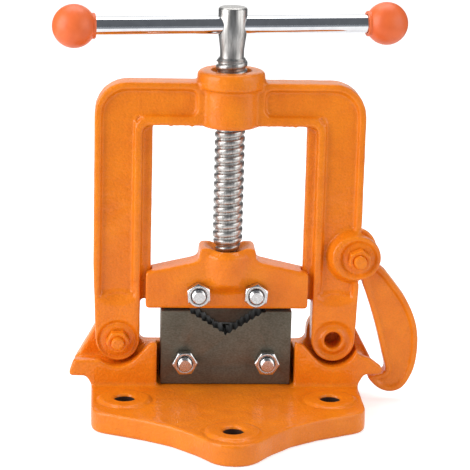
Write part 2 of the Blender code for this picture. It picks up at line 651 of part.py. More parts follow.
def make_nut(name, x, z, front_seat, spec):
    """A hexagon nut that bears on a front face."""
    back = front_seat - GAP
    nut = hex_prism(name, x, z, back - NUT_HEIGHT, back)
    cut(nut, drill("nut_hole", x, z, BOLT_RADIUS + GAP, back - NUT_HEIGHT - OVERRUN, back + OVERRUN))
    return dress(nut, spec, smooth=False)


def yoke_outline():
    """Front view of the yoke: an upturned U with a round eye at the foot of each leg."""
    right = rounded([
        (0, WINDOW_TOP),
        (LEG_INNER_X, WINDOW_TOP, WINDOW_CORNER_RADIUS),
        *arc(PIN_X, PIN_HEIGHT, EYE_RADIUS, pi, 2 * pi),
        (LEG_OUTER_X, PIN_HEIGHT + LEG_TAPER_HEIGHT),
        (LEG_OUTER_X, YOKE_TOP, YOKE_CORNER_RADIUS),
        (0, YOKE_TOP),
    ])
    return right + mirrored(right)[1:-1]


def panel_outline():
    """The sunk panel of the right leg and half of the top bar."""
    outer = LEG_OUTER_X - RIB_OUTER
    inner = LEG_INNER_X + RIB_INNER
    top = YOKE_TOP - RIB_TOP
    bottom = WINDOW_TOP + RIB_BOTTOM
    near_boss = BOSS_RADIUS + PANEL_CORNER * 2 / 3
    lower_end = arc(PIN_X, PIN_HEIGHT, PANEL_END_RADIUS,
                    acos((inner - PIN_X) / PANEL_END_RADIUS), acos((outer - PIN_X) / PANEL_END_RADIUS))
    return rounded(lower_end + [
        (outer, top, YOKE_CORNER_RADIUS - RIB_OUTER),
        (near_boss, top, PANEL_CORNER),
        (near_boss, bottom, PANEL_CORNER),
        (inner, bottom, PANEL_CORNER),
    ])


def make_yoke():
    yoke = prism("yoke_casting", yoke_outline(), -YOKE_HALF_DEPTH, YOKE_HALF_DEPTH)
    sunk = RIB_INNER / 2
    for side in (-1, 1):
        rail = [(side * RAIL_INNER_X, RAIL_FOOT), (side * (LEG_INNER_X + sunk), RAIL_FOOT),
                (side * (LEG_INNER_X + sunk), WINDOW_TOP + sunk), (side * RAIL_INNER_X, WINDOW_TOP + sunk)]
        weld(yoke, prism("rail", rail, -RAIL_HALF_DEPTH, RAIL_HALF_DEPTH))
    weld(yoke, turned("boss", [
        (0, BOSS_BOTTOM), (BOSS_RADIUS - COLLAR_EDGE / 2, BOSS_BOTTOM), (BOSS_RADIUS, BOSS_BOTTOM + COLLAR_EDGE),
        (BOSS_RADIUS, COLLAR_BOTTOM), (COLLAR_RADIUS, COLLAR_BOTTOM), (COLLAR_RADIUS, COLLAR_TOP - COLLAR_EDGE),
        (COLLAR_RADIUS - COLLAR_EDGE, COLLAR_TOP), (0, COLLAR_TOP)]))
    floor = YOKE_HALF_DEPTH - PANEL_RECESS
    panel = panel_outline()
    for outline in (panel, mirrored(panel)):
        cut(yoke, prism("front_panel", outline, -YOKE_HALF_DEPTH - OVERRUN, -floor),
            prism("back_panel", outline, floor, YOKE_HALF_DEPTH + OVERRUN))
    weld(yoke, drill("lug", LUG_X, LUG_Z, LUG_RADIUS, -LUG_HALF_DEPTH, LUG_HALF_DEPTH, ROUND_STEPS))
    slot_radius = HOOK_EYE_RADIUS + 2 * GAP
    slot = [(LUG_X + LUG_RADIUS + OVERRUN, LUG_Z + LUG_RADIUS + OVERRUN), (LUG_X, LUG_Z + LUG_RADIUS + OVERRUN)]
    slot += arc(LUG_X, LUG_Z, slot_radius, pi / 2, 3 * pi / 2)
    slot += [(LUG_X, LUG_Z - LUG_RADIUS - OVERRUN), (LUG_X + LUG_RADIUS + OVERRUN, LUG_Z - LUG_RADIUS - OVERRUN)]
    cut(yoke, prism("hook_slot", slot, -LUG_SLOT_HALF_DEPTH, LUG_SLOT_HALF_DEPTH))
    cut(yoke, threaded_rod("thread_cutter", THREAD_CLEARANCE,
                           BOSS_BOTTOM - THREAD_PITCH - GAP, COLLAR_TOP + THREAD_PITCH + GAP))
    cut(yoke, round_bar("mouth", BOSS_MOUTH_RADIUS, COLLAR_TOP - BOSS_MOUTH_DEPTH, COLLAR_TOP + OVERRUN,
                        ROUND_STEPS))
    for side in (-1, 1):
        cut(yoke,
            drill("eye_hole", side * PIN_X, PIN_HEIGHT, EYE_HOLE_RADIUS,
                  -YOKE_HALF_DEPTH - OVERRUN, YOKE_HALF_DEPTH + OVERRUN),
            drill("eye_ring", side * PIN_X, PIN_HEIGHT, EYE_RING_RADIUS,
                  -YOKE_HALF_DEPTH - OVERRUN, -YOKE_HALF_DEPTH + EYE_RING_DEPTH, ROUND_STEPS))
    cut(yoke, drill("lug_ring", LUG_X, LUG_Z, LUG_RING_RADIUS,
                    -LUG_HALF_DEPTH - OVERRUN, -LUG_HALF_DEPTH + EYE_RING_DEPTH, ROUND_STEPS))
    cut(yoke, drill("hook_bolt_hole", LUG_X, LUG_Z, BOLT_RADIUS + GAP,
                    -LUG_HALF_DEPTH - OVERRUN, LUG_HALF_DEPTH + OVERRUN))
    return dress(yoke, ENAMEL)


def smoothed(points, steps=3):
    """A Catmull-Rom run through the points, with its two ends kept."""
    path = [Vector(point) for point in points]
    path = [path[0] * 2 - path[1]] + path + [path[-1] * 2 - path[-2]]
    run = [tuple(path[1])]
    for before, start, end, after in zip(path, path[1:], path[2:], path[3:]):
        for step in range(1, steps + 1):
            share = step / steps
            here = (start * 2 + (end - before) * share
                    + (before * 2 - start * 5 + end * 4 - after) * share ** 2
                    + (start * 3 - before - end * 3 + after) * share ** 3) / 2
            run.append(tuple(here))
    return run


def hook_outline(inset=0):
    """Front view of the hook from its pin, latched; inset draws in the sunk panel's outline."""
    outer_shares = [(0.47, -0.125), (0.66, -0.235), (0.80, -0.325), (0.91, -0.425), (0.98, -0.53),
                    (1.00, -0.655), (0.96, -0.80), (0.87, -0.90), (0.74, -0.975), (0.56, -1.00),
                    (0.38, -0.978), (0.26, -0.934)]
    nose_shares = [(0.176, -0.888), (0.30, -0.873), (0.43, -0.862), (0.468, -0.845), (0.470, -0.815)]
    inner_shares = [(0.318, -0.531), (0.185, -0.330), (0.085, -0.205)]
    outer = [(across_share * HOOK_BULGE, down_share * HOOK_LENGTH) for across_share, down_share in outer_shares]
    nose = [(across_share * HOOK_BULGE, down_share * HOOK_LENGTH) for across_share, down_share in nose_shares]
    inner = [(across_share * HOOK_BULGE, down_share * HOOK_LENGTH) for across_share, down_share in inner_shares]
    if not inset:
        eye = arc(0, 0, HOOK_EYE_RADIUS, -radians(78), -2 * pi - radians(25))
        return smoothed(outer + nose[:1]) + nose[1:4] + smoothed(nose[4:] + inner) + eye
    panel = outer[1:-2] + nose[3:4] + inner[:-1]
    count = len(panel)
    drawn_in = []
    for index, point in enumerate(panel):
        back = Vector(panel[index - 1])
        ahead = Vector(panel[(index + 1) % count])
        along = (ahead - back).normalized()
        inward = Vector((along.y, -along.x))
        drawn_in.append(tuple(Vector(point) + inward * inset))
    return drawn_in


def make_hook():
    hook = prism("hook_casting", hook_outline(), -HOOK_HALF_DEPTH, HOOK_HALF_DEPTH)
    panel = hook_outline(HOOK_RIM)
    floor = HOOK_HALF_DEPTH - HOOK_RECESS
    cut(hook, prism("front_panel", panel, -HOOK_HALF_DEPTH - OVERRUN, -floor),
        prism("back_panel", panel, floor, HOOK_HALF_DEPTH + OVERRUN))
    cut(hook, drill("hook_hole", 0, 0, BOLT_RADIUS + GAP, -HOOK_HALF_DEPTH - OVERRUN, HOOK_HALF_DEPTH + OVERRUN))
    swung_clear = Matrix.Rotation(-HOOK_CLEAR_ANGLE, 4, 'Y')
    placed(hook, swung_clear)
    hook.location = (LUG_X, 0, LUG_Z)
    return dress(hook, ENAMEL)


def wing_relief_outline():
    """What is cut from the back so that the wings are thinner than the block in the middle."""
    far_x = CROSSHEAD_HALF_WIDTH + OVERRUN
    high = CROSSHEAD_TOP + OVERRUN
    low = CROSSHEAD_BOTTOM - OVERRUN
    near_x = CROSSHEAD_BLOCK_X + GAP
    return [(-far_x, low), (far_x, low), (far_x, high), (near_x, high), (near_x, WING_BLOCK_Z),
            (-near_x, WING_BLOCK_Z), (-near_x, high), (-far_x, high)]


def crosshead_outline():
    end_round = CROSSHEAD_HALF_WIDTH / 30
    root_fillet = CROSSHEAD_HALF_WIDTH / 12
    block_round = CROSSHEAD_HALF_WIDTH / 16
    right = rounded([
        (0, CROSSHEAD_BOTTOM),
        (CROSSHEAD_HALF_WIDTH, CROSSHEAD_BOTTOM, end_round),
        (CROSSHEAD_HALF_WIDTH, CROSSHEAD_END_TOP, end_round),
        (CROSSHEAD_BLOCK_X, CROSSHEAD_ROOT_TOP, root_fillet),
        (CROSSHEAD_BLOCK_X, CROSSHEAD_TOP, block_round),
        (0, CROSSHEAD_TOP),
    ])
    return right + mirrored(right)[1:-1]


def make_crosshead():
    crosshead = prism("crosshead_casting", crosshead_outline(), -CROSSHEAD_HALF_DEPTH, CROSSHEAD_HALF_DEPTH)
    cut(crosshead, prism("wing_relief", wing_relief_outline(), WING_BACK, CROSSHEAD_HALF_DEPTH + OVERRUN))
    ball_centre = BULGE_BOTTOM + BULGE_RADIUS
    bulge = turned("bulge", [(0, BULGE_BOTTOM)]
                   + arc(0, ball_centre, BULGE_RADIUS, -pi / 2, 0)[1:]
                   + [(BULGE_RADIUS, BULGE_TOP), (BULGE_MOUTH_RADIUS, CROSSHEAD_TOP - GAP), (0, CROSSHEAD_TOP - GAP)])
    weld(crosshead, bulge)
    slot_half = UPPER_JAW_HALF_WIDTH + GAP
    jaw_slot = [(-slot_half, CROSSHEAD_BOTTOM - OVERRUN), (slot_half, CROSSHEAD_BOTTOM - OVERRUN),
                (slot_half, JAW_SLOT_TOP), (-slot_half, JAW_SLOT_TOP)]
    slot_depth = UPPER_JAW_HALF_DEPTH + GAP
    cut(crosshead, prism("jaw_slot", jaw_slot, -slot_depth, slot_depth))
    fork_depth = RAIL_HALF_DEPTH + GAP
    for side in (-1, 1):
        fork = [(side * (RAIL_INNER_X - GAP), CROSSHEAD_BOTTOM - OVERRUN),
                (side * (CROSSHEAD_HALF_WIDTH + OVERRUN), CROSSHEAD_BOTTOM - OVERRUN),
                (side * (CROSSHEAD_HALF_WIDTH + OVERRUN), CROSSHEAD_END_TOP + OVERRUN),
                (side * (RAIL_INNER_X - GAP), CROSSHEAD_END_TOP + OVERRUN)]
        cut(crosshead, prism("fork", fork, -fork_depth, fork_depth),
            drill("bolt_hole", side * UPPER_BOLT_X, UPPER_BOLT_Z, BOLT_RADIUS + GAP,
                  -CROSSHEAD_HALF_DEPTH - OVERRUN, CROSSHEAD_HALF_DEPTH + OVERRUN))
    cut(crosshead, round_bar("journal_bore", JOURNAL_RADIUS + GAP, JOURNAL_FLOOR, CROSSHEAD_TOP + OVERRUN))
    for side in (-1, 1):
        cut(crosshead, drill("retainer_hole", side * retainer_x(), RETAINER_Z, RETAINER_RADIUS + GAP / 2,
                             -CROSSHEAD_HALF_DEPTH, BULGE_RADIUS + OVERRUN))
    return dress(crosshead, ENAMEL)


def retainer_x():
    """The pins lie in the journal's groove, beside its core."""
    return GROOVE_RADIUS + GAP + RETAINER_RADIUS


def make_retainer(name, side):
    back = sqrt(BULGE_RADIUS ** 2 - retainer_x() ** 2) - RETAINER_RADIUS / 2
    pin = drill(name, side * retainer_x(), RETAINER_Z, RETAINER_RADIUS,
                -CROSSHEAD_HALF_DEPTH + GAP, back, SMALL_ROUND_STEPS)
    return dress(pin, ZINC)


def make_screw():
    screw = threaded_rod("lead_screw", 0, THREAD_BOTTOM, THREAD_TOP)
    groove_half = RETAINER_RADIUS + GAP
    core = NECK_RADIUS / 2
    journal_edge = JOURNAL_RADIUS / 8
    weld(screw, turned("journal", [
        (0, JOURNAL_BOTTOM), (JOURNAL_RADIUS - journal_edge, JOURNAL_BOTTOM),
        (JOURNAL_RADIUS, JOURNAL_BOTTOM + journal_edge),
        (JOURNAL_RADIUS, RETAINER_Z - groove_half), (GROOVE_RADIUS, RETAINER_Z - groove_half),
        (GROOVE_RADIUS, RETAINER_Z + groove_half), (JOURNAL_RADIUS, RETAINER_Z + groove_half),
        (JOURNAL_RADIUS, THREAD_BOTTOM + core), (0, THREAD_BOTTOM + core)]))
    head = turned("head", [
        (0, THREAD_TOP - core), (NECK_RADIUS, THREAD_TOP - core), (NECK_RADIUS, HEAD_BOTTOM),
        (HEAD_RADIUS, HEAD_BOTTOM), (HEAD_RADIUS, HEAD_TOP - HEAD_EDGE),
        (HEAD_RADIUS - HEAD_EDGE, HEAD_TOP), (0, HEAD_TOP)])
    weld(screw, head)
    hole = round_bar("cross_hole", HANDLE_RADIUS + GAP, -HEAD_RADIUS - OVERRUN, HEAD_RADIUS + OVERRUN)
    cut(screw, placed(hole, handle_frame()))
    return dress(screw, SCREW_STEEL)


def handle_frame():
    """Lays a piece that was made along Z along the handle, which is turned a little from X."""
    return (Matrix.Translation((0, 0, HANDLE_HEIGHT)) @ Matrix.Rotation(HANDLE_TURN, 4, 'Z')
            @ Matrix.Rotation(pi / 2, 4, 'Y'))


def make_handle():
    half = HANDLE_REACH - KNOB_NECK_REACH + KNOB_SOCKET_DEPTH - GAP
    edge = HANDLE_RADIUS / 6
    bar = turned("handle_bar", [(0, -half), (HANDLE_RADIUS - edge, -half), (HANDLE_RADIUS, -half + edge),
                                (HANDLE_RADIUS, half - edge), (HANDLE_RADIUS - edge, half), (0, half)],
                 SMALL_ROUND_STEPS)
    return dress(placed(bar, handle_frame()), CHROME)


def make_knob(name, side):
    """A ball on a short neck, with a socket for the bar's end."""
    neck_turn = asin(KNOB_NECK_RADIUS / KNOB_RADIUS)
    ball = arc(0, 0, KNOB_RADIUS, pi / 2, -pi / 2 + neck_turn)
    profile = [(0, KNOB_RADIUS)] + ball[1:] + [
        (KNOB_NECK_RADIUS, -KNOB_NECK_REACH), (HANDLE_RADIUS + GAP, -KNOB_NECK_REACH),
        (HANDLE_RADIUS + GAP, -KNOB_NECK_REACH + KNOB_SOCKET_DEPTH),
        (0, -KNOB_NECK_REACH + KNOB_SOCKET_DEPTH)]
    knob = turned(name, profile, ROUND_STEPS)
    place = Matrix.Translation((0, 0, side * HANDLE_REACH))
    if side < 0:
        place = place @ Matrix.Rotation(pi, 4, 'X')
    return dress(placed(knob, handle_frame() @ place), KNOB_PAINT)


def pivot(name, place):
    """An empty on a joint's axis."""
    mark = bpy.data.objects.new(name, None)
    mark.location = place
    bpy.context.scene.collection.objects.link(mark)
    return mark


def hang(mark, pieces):
    """Parent pieces to a pivot, with their world places kept."""
    bpy.context.view_layer.update()
    for piece in pieces:
        piece.parent = mark
        piece.matrix_parent_inverse = mark.matrix_world.inverted()


def build():
    clear_scene()
    make_base()
    make_lower_jaw()
    yoke = make_yoke()
    crosshead = make_crosshead()
    upper_jaw = make_upper_jaw()
    screw = make_screw()
    bar = make_handle()
    hook = make_hook()
    on_crosshead = [crosshead, upper_jaw]
    on_handle = [bar]
    for side, word in ((-1, "left"), (1, "right")):
        make_bolt("lower_jaw_bolt_" + word, side * LOWER_BOLT_X, LOWER_BOLT_Z,
                  -JAW_HALF_DEPTH, UPRIGHT_BACK, ZINC)
        make_nut("lower_jaw_nut_" + word, side * LOWER_BOLT_X, LOWER_BOLT_Z, -JAW_HALF_DEPTH, ZINC)
        on_crosshead += [
            make_bolt("upper_jaw_bolt_" + word, side * UPPER_BOLT_X, UPPER_BOLT_Z,
                      -CROSSHEAD_HALF_DEPTH, WING_BACK, ZINC),
            make_nut("upper_jaw_nut_" + word, side * UPPER_BOLT_X, UPPER_BOLT_Z, -CROSSHEAD_HALF_DEPTH, ZINC),
            make_retainer("screw_retaining_pin_" + word, side),
        ]
        on_handle.append(make_knob("ball_knob_" + word, side))
    eye_face = -YOKE_HALF_DEPTH + EYE_RING_DEPTH
    make_bolt("hinge_bolt", -PIN_X, PIN_HEIGHT, eye_face, UPRIGHT_BACK, ENAMEL, HINGE_SHANK_RADIUS)
    make_nut("hinge_nut", -PIN_X, PIN_HEIGHT, eye_face, ENAMEL)
    lug_face = -LUG_HALF_DEPTH + EYE_RING_DEPTH
    hook_bolt = make_bolt("hook_bolt", LUG_X, LUG_Z, lug_face, LUG_HALF_DEPTH, ENAMEL)
    hook_nut = make_nut("hook_nut", LUG_X, LUG_Z, lug_face, ENAMEL)
    hinge = pivot("hinge_axis", (-PIN_X, 0, PIN_HEIGHT))
    slide = pivot("crosshead_axis", (0, 0, CROSSHEAD_BOTTOM))
    turn = pivot("screw_axis", (0, 0, HANDLE_HEIGHT))
    hang(turn, [screw] + on_handle)
    hang(slide, on_crosshead + [turn])
    hang(hinge, [yoke, hook, hook_bolt, hook_nut, slide])


build()
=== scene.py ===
# %% [markdown]
# # A hinged bench pipe vise
# The vise holds round pipe between a toothed V and a wedge that a screw drives down.
# Its castings are iron under orange enamel, its jaws are blackened steel, and the
# screw, the bar and the small bolts are bright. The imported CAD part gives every
# size, so each step below only adds what the eye meets: rounded cast edges, real
# threads, and finishes with the grain and gloss that their making gives them.

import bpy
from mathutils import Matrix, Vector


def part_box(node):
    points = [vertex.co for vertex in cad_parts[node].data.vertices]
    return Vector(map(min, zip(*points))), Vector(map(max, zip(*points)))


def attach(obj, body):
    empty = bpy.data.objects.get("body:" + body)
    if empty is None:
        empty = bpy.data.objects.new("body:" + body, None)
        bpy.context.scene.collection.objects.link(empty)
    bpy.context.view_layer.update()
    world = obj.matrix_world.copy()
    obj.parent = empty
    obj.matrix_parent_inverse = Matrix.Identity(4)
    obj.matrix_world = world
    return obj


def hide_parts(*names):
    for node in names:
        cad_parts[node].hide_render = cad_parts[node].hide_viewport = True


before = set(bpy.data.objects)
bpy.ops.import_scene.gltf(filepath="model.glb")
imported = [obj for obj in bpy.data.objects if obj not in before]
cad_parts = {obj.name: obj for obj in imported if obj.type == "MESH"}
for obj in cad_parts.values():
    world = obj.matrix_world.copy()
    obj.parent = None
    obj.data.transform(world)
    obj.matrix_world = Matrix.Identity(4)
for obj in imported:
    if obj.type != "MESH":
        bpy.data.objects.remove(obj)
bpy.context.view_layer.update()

# %% Tools used all along
from math import cos, pi, radians, sin, sqrt, tan

import bmesh
import bpy
from mathutils import Matrix, Vector, kdtree, noise

MM = 0.001
scene = bpy.context.scene
print("one millimetre is", MM, "of Blender's units")

# %% [markdown]
# ## The camera
# The photograph was taken from a little above the front, with a long lens. A long
# lens keeps the legs of the vise parallel. The place was found by fitting the
# edges of the part to those of the photograph.

# %% Place the camera
AZIMUTH = radians(-3.934)
ELEVATION = radians(14.928)
ROLL = radians(-1.489)
AIM = Vector((4.495, 0, 102.729)) * MM
DISTANCE = 1262.61 * MM
LENS_MM, SENSOR_MM = 162.885, 36
NEAREST_SEEN, FARTHEST_SEEN = 0.1, 20

camera = bpy.data.objects.new("camera", bpy.data.cameras.new("camera"))
scene.collection.objects.link(camera)
ahead = Vector((-sin(AZIMUTH) * cos(ELEVATION), cos(AZIMUTH) * cos(ELEVATION), -sin(ELEVATION)))
level = Vector((cos(AZIMUTH), sin(AZIMUTH), 0))
upright = level.cross(ahead)
right = level * cos(ROLL) - upright * sin(ROLL)
above = level * sin(ROLL) + upright * cos(ROLL)
facing_vise = Matrix((right, above, -ahead)).transposed().to_4x4()
camera.matrix_world = Matrix.Translation(AIM - ahead * DISTANCE) @ facing_vise
camera.data.sensor_width = SENSOR_MM
camera.data.lens = LENS_MM
camera.data.clip_start, camera.data.clip_end = NEAREST_SEEN, FARTHEST_SEEN
scene.camera = camera
print("camera at", [round(v, 3) for v in camera.location], "lens", camera.data.lens, "mm")

# %% [markdown]
# ## The studio
# A product photographer stands such a thing on white paper between two soft boxes,
# with a third above. The vise then has a tall light band on each side of every round
# form. Grey cards stand where the camera can't see them: a tall one in front that
# leans overhead, a paler one that lies low before the vise, and one behind each side.
# The chrome mirrors them as the grey between its bright bands, and without them
# polished metal looks like white plastic.

# %% Colours are written as on screen
def linear(hex_code):
    """The linear red, green, blue and alpha of an sRGB hex colour."""
    channels = [int(hex_code[i:i + 2], 16) / 255 for i in (1, 3, 5)]
    return [c / 12.92 if c <= 0.04045 else ((c + 0.055) / 1.055) ** 2.4 for c in channels] + [1]


print("white is", linear("#FFFFFF"))

# %% One helper adds any node
def add(tree, kind, inputs=None, **settings):
    """A new node with its settings, and values or links for its inputs."""
    made = tree.nodes.new(kind)
    for name, value in settings.items():
        setattr(made, name, value)
    for name, value in (inputs or {}).items():
        if isinstance(value, bpy.types.NodeSocket):
            tree.links.new(value, made.inputs[name])
        else:
            made.inputs[name].default_value = value
    return made


def blank(name):
    """A material with an empty node tree, and the tree."""
    material = bpy.data.materials.new(name)
    material.use_nodes = True
    material.node_tree.nodes.clear()
    return material, material.node_tree


print("node helper ready")

# %% White paper that keeps the shadow
SEEN_GLOW, MIRRORED_GLOW = 0.62, 0.4
FLOOR_SIZE = 12


def seen_in_metal(tree):
    """The light path node, and one for rays that metal or glass sends on, else zero."""
    path = add(tree, "ShaderNodeLightPath")
    ways = {0: path.outputs["Is Glossy Ray"], 1: path.outputs["Is Transmission Ray"]}
    return path, add(tree, "ShaderNodeMath", ways, operation='MAXIMUM').outputs[0]


def make_paper():
    """Matt paper with a little light of its own, so that it shows white and keeps a soft shadow."""
    material, tree = blank("white_paper")
    path, mirrored = seen_in_metal(tree)
    weaker = add(tree, "ShaderNodeMath", {0: mirrored, 1: MIRRORED_GLOW}, operation='MULTIPLY')
    glow = add(tree, "ShaderNodeMath", {0: path.outputs["Is Camera Ray"], 1: SEEN_GLOW, 2: weaker.outputs[0]},
               operation='MULTIPLY_ADD')
    shader = add(tree, "ShaderNodeBsdfDiffuse", {"Color": linear("#E4E4E4")})
    light = add(tree, "ShaderNodeEmission", {"Color": linear("#FFFFFF"), "Strength": glow.outputs[0]})
    both = add(tree, "ShaderNodeAddShader", {0: shader.outputs[0], 1: light.outputs[0]})
    add(tree, "ShaderNodeOutputMaterial", {"Surface": both.outputs[0]})
    return material


def flat_sheet(name, size_x, size_y):
    """A flat rectangle in the XY plane, round its origin."""
    shape = bmesh.new()
    bmesh.ops.create_grid(shape, x_segments=1, y_segments=1, size=0.5)
    bmesh.ops.scale(shape, verts=shape.verts, vec=(size_x, size_y, 1))
    mesh = bpy.data.meshes.new(name)
    shape.to_mesh(mesh)
    shape.free()
    sheet = bpy.data.objects.new(name, mesh)
    scene.collection.objects.link(sheet)
    return sheet


floor = flat_sheet("paper_floor", FLOOR_SIZE, FLOOR_SIZE)
floor.data.materials.append(make_paper())
print("floor", [round(v, 2) for v in floor.dimensions])

# %% White air round it all
ROOM_LIGHT, WHITE_SEEN = 0.49, 1.0
world = bpy.data.worlds.new("studio")
world.use_nodes = True
scene.world = world
air = world.node_tree
air.nodes.clear()
air_path, air_mirrored = seen_in_metal(air)
air_seen = add(air, "ShaderNodeMath", {0: air_path.outputs["Is Camera Ray"], 1: air_mirrored},
               operation='MAXIMUM')
room = add(air, "ShaderNodeBackground", {"Color": linear("#FFFFFF"), "Strength": ROOM_LIGHT})
white = add(air, "ShaderNodeBackground", {"Color": linear("#FFFFFF"), "Strength": WHITE_SEEN})
air_mix = add(air, "ShaderNodeMixShader", {0: air_seen.outputs[0], 1: room.outputs[0], 2: white.outputs[0]})
add(air, "ShaderNodeOutputWorld", {"Surface": air_mix.outputs[0]})
scene.view_settings.view_transform = "Standard"
print("room light", ROOM_LIGHT)

# %% Three soft boxes
def soft_box(name, place, width, height, watts):
    """A rectangular lamp that faces the middle of the vise."""
    lamp = bpy.data.lights.new(name, 'AREA')
    lamp.shape = 'RECTANGLE'
    lamp.size, lamp.size_y = width, height
    lamp.energy = watts
    item = bpy.data.objects.new(name, lamp)
    scene.collection.objects.link(item)
    item.location = place
    item.rotation_euler = (Vector(place) - AIM).to_track_quat('Z', 'Y').to_euler()
    item.visible_camera = False


soft_box("left_box", (-1.07, -0.41, 0.50), 0.95, 1.2, 13.5)
soft_box("right_box", (1.10, -0.62, 0.45), 1.2, 1.3, 6.5)
soft_box("top_box", (0, 0.42, 1.35), 1.2, 0.9, 9)

# %% Grey cards, out of the picture
DARK_GREY, PALE_GREY = 0.17, 0.36


def card(name, foot, rise, grey):
    """A card unseen by the camera: it starts on a line of the floor and rises by steps of (out, up)."""
    card_material, card_tree = blank(name + "_paper")
    glow = add(card_tree, "ShaderNodeEmission", {"Color": linear("#F0F6FF"), "Strength": grey})
    add(card_tree, "ShaderNodeOutputMaterial", {"Surface": glow.outputs[0]})
    shape = bmesh.new()
    across = Vector(foot[1]) - Vector(foot[0])
    outward = Vector((across.y, -across.x)).normalized()
    rows = [[shape.verts.new((*(Vector(end) + outward * out), up)) for end in foot] for out, up in rise]
    for lower, upper in zip(rows, rows[1:]):
        shape.faces.new((lower[0], lower[1], upper[1], upper[0]))
    mesh = bpy.data.meshes.new(name)
    shape.to_mesh(mesh)
    shape.free()
    mesh.materials.append(card_material)
    sheet = bpy.data.objects.new(name, mesh)
    scene.collection.objects.link(sheet)
    sheet.visible_camera = False
    return sheet


front = card("front_card", ((-2.0, -1.9), (1.8, -1.9)),
             ((0, 0.02), (0, 1.6), (-0.5, 2.3), (-1.3, 2.8), (-2.4, 3.0)), DARK_GREY)
low_front = card("low_front_card", ((-2.0, -0.42), (1.8, -0.42)), ((0, 0.004), (1.48, 0.004)), PALE_GREY)
low_front.visible_shadow = False
for sheet in (front, low_front):
    sheet.visible_diffuse = False
card("left_flag", ((-0.62, 0.12), (-0.25, 0.55)), ((0, 0.02), (0, 0.8)), DARK_GREY)
card("right_flag", ((0.25, 0.55), (0.62, 0.12)), ((0, 0.02), (0, 0.8)), DARK_GREY)

# %% [markdown]
# ## Orange enamel on cast iron
# The castings come out of sand, so their skin is faintly lumpy, and the enamel over
# them is thick: it rounds every edge and sets with the fine ripple called orange
# peel, with small specks. Its corners are painted darker, as painted shade. An image
# could give all that, but noise on the object's own coordinates has no seams and
# keeps its size in millimetres on every piece.

# %% Where a pattern is measured from
def on_object(tree, size_mm, detail=2.0, roughness=0.5, stretch=(1, 1, 1)):
    """Noise whose lumps are about size_mm wide, on the piece's own coordinates."""
    place = add(tree, "ShaderNodeTexCoord")
    pulled = add(tree, "ShaderNodeMapping", {"Vector": place.outputs["Object"], "Scale": stretch})
    return add(tree, "ShaderNodeTexNoise", {"Vector": pulled.outputs[0], "Scale": 1 / (size_mm * MM),
                                            "Detail": detail, "Roughness": roughness})


def begin_finish(name, **constants):
    """A new material, its tree, and its surface shader with constants on the shader's own sockets."""
    material, tree = blank(name)
    sockets = {socket.replace("_", " "): value for socket, value in constants.items()}
    shader = add(tree, "ShaderNodeBsdfPrincipled", sockets)
    add(tree, "ShaderNodeOutputMaterial", {"Surface": shader.outputs[0]})
    return material, tree, shader


def set_tints(ramp, low, dark, high, light):
    """Give a colour ramp its two stops."""
    for stop, place, colour in zip(ramp.color_ramp.elements, (low, high), (dark, light)):
        stop.position = place
        stop.color = linear(colour)


print("noise is measured in millimetres")

# %% Enamel
DRIFT_MM, SPECK_MM, SAND_MM, PEEL_MM = 14, 0.9, 5.5, 1.5
CORNER_REACH, CORNER_SHADE = 4.5 * MM, 0.42


def make_enamel():
    """Thick orange enamel on sand-cast iron: specked, with painted shade in its corners, and a smoother film
    on top.

    Real peel and specks are finer, and are drawn as coarse as they need to be to show."""
    material, tree, shader = begin_finish("orange_enamel_on_iron", Roughness=0.4, IOR=1.5,
                                          Specular_IOR_Level=0.15, Coat_Weight=0.45, Coat_Roughness=0.13)
    drift = on_object(tree, DRIFT_MM, 3)
    tint = add(tree, "ShaderNodeValToRGB", {"Fac": drift.outputs["Fac"]})
    set_tints(tint, 0.32, "#E87A10", 0.70, "#F48712")
    speck = on_object(tree, SPECK_MM, 2)
    spots = add(tree, "ShaderNodeMapRange", {"Value": speck.outputs["Fac"], "From Min": 0.3, "From Max": 0.7,
                                             "To Min": 0.94, "To Max": 1.05})
    # Painted shade: an occlusion node darkens the colour in the piece's own corners, down to CORNER_SHADE.
    corner = add(tree, "ShaderNodeAmbientOcclusion", {"Distance": CORNER_REACH}, samples=6, only_local=True)
    shade = add(tree, "ShaderNodeMapRange", {"Value": corner.outputs["AO"], "From Min": 0.1, "From Max": 0.9,
                                             "To Min": CORNER_SHADE, "To Max": 1.0})
    both = add(tree, "ShaderNodeMath", {0: spots.outputs["Result"], 1: shade.outputs["Result"]},
               operation='MULTIPLY')
    specked_with_painted_shade = add(tree, "ShaderNodeVectorMath", {0: tint.outputs["Color"]}, operation='SCALE')
    tree.links.new(both.outputs[0], specked_with_painted_shade.inputs["Scale"])
    tree.links.new(specked_with_painted_shade.outputs[0], shader.inputs["Base Color"])
    sand = on_object(tree, SAND_MM, 3)
    lumps = add(tree, "ShaderNodeBump", {"Height": sand.outputs["Fac"], "Strength": 0.5,
                                         "Distance": 0.5 * MM})
    peel = on_object(tree, PEEL_MM, 2)
    skin = add(tree, "ShaderNodeBump", {"Height": peel.outputs["Fac"], "Strength": 0.8, "Distance": 0.65 * MM,
                                        "Normal": lumps.outputs["Normal"]})
    tree.links.new(skin.outputs["Normal"], shader.inputs["Normal"])
    film = add(tree, "ShaderNodeBump", {"Height": peel.outputs["Fac"], "Strength": 0.3, "Distance": 0.3 * MM,
                                        "Normal": lumps.outputs["Normal"]})
    tree.links.new(film.outputs["Normal"], shader.inputs["Coat Normal"])
    return material


enamel = make_enamel()
print("made", enamel.name)

# %% [markdown]
# ## Sand-cast forms
# A cast edge is never sharp, because sand can't hold a corner and the enamel flows
# over it. Bevelling a shape with this many crossings fails where small edges meet.
# So each casting is a copy of its CAD node, cast again in small even cells, and then
# every cell's corner is drawn towards its neighbours, as a file and paint would.

# %% A copy of a CAD node
TOUCHING = 0.001 * MM


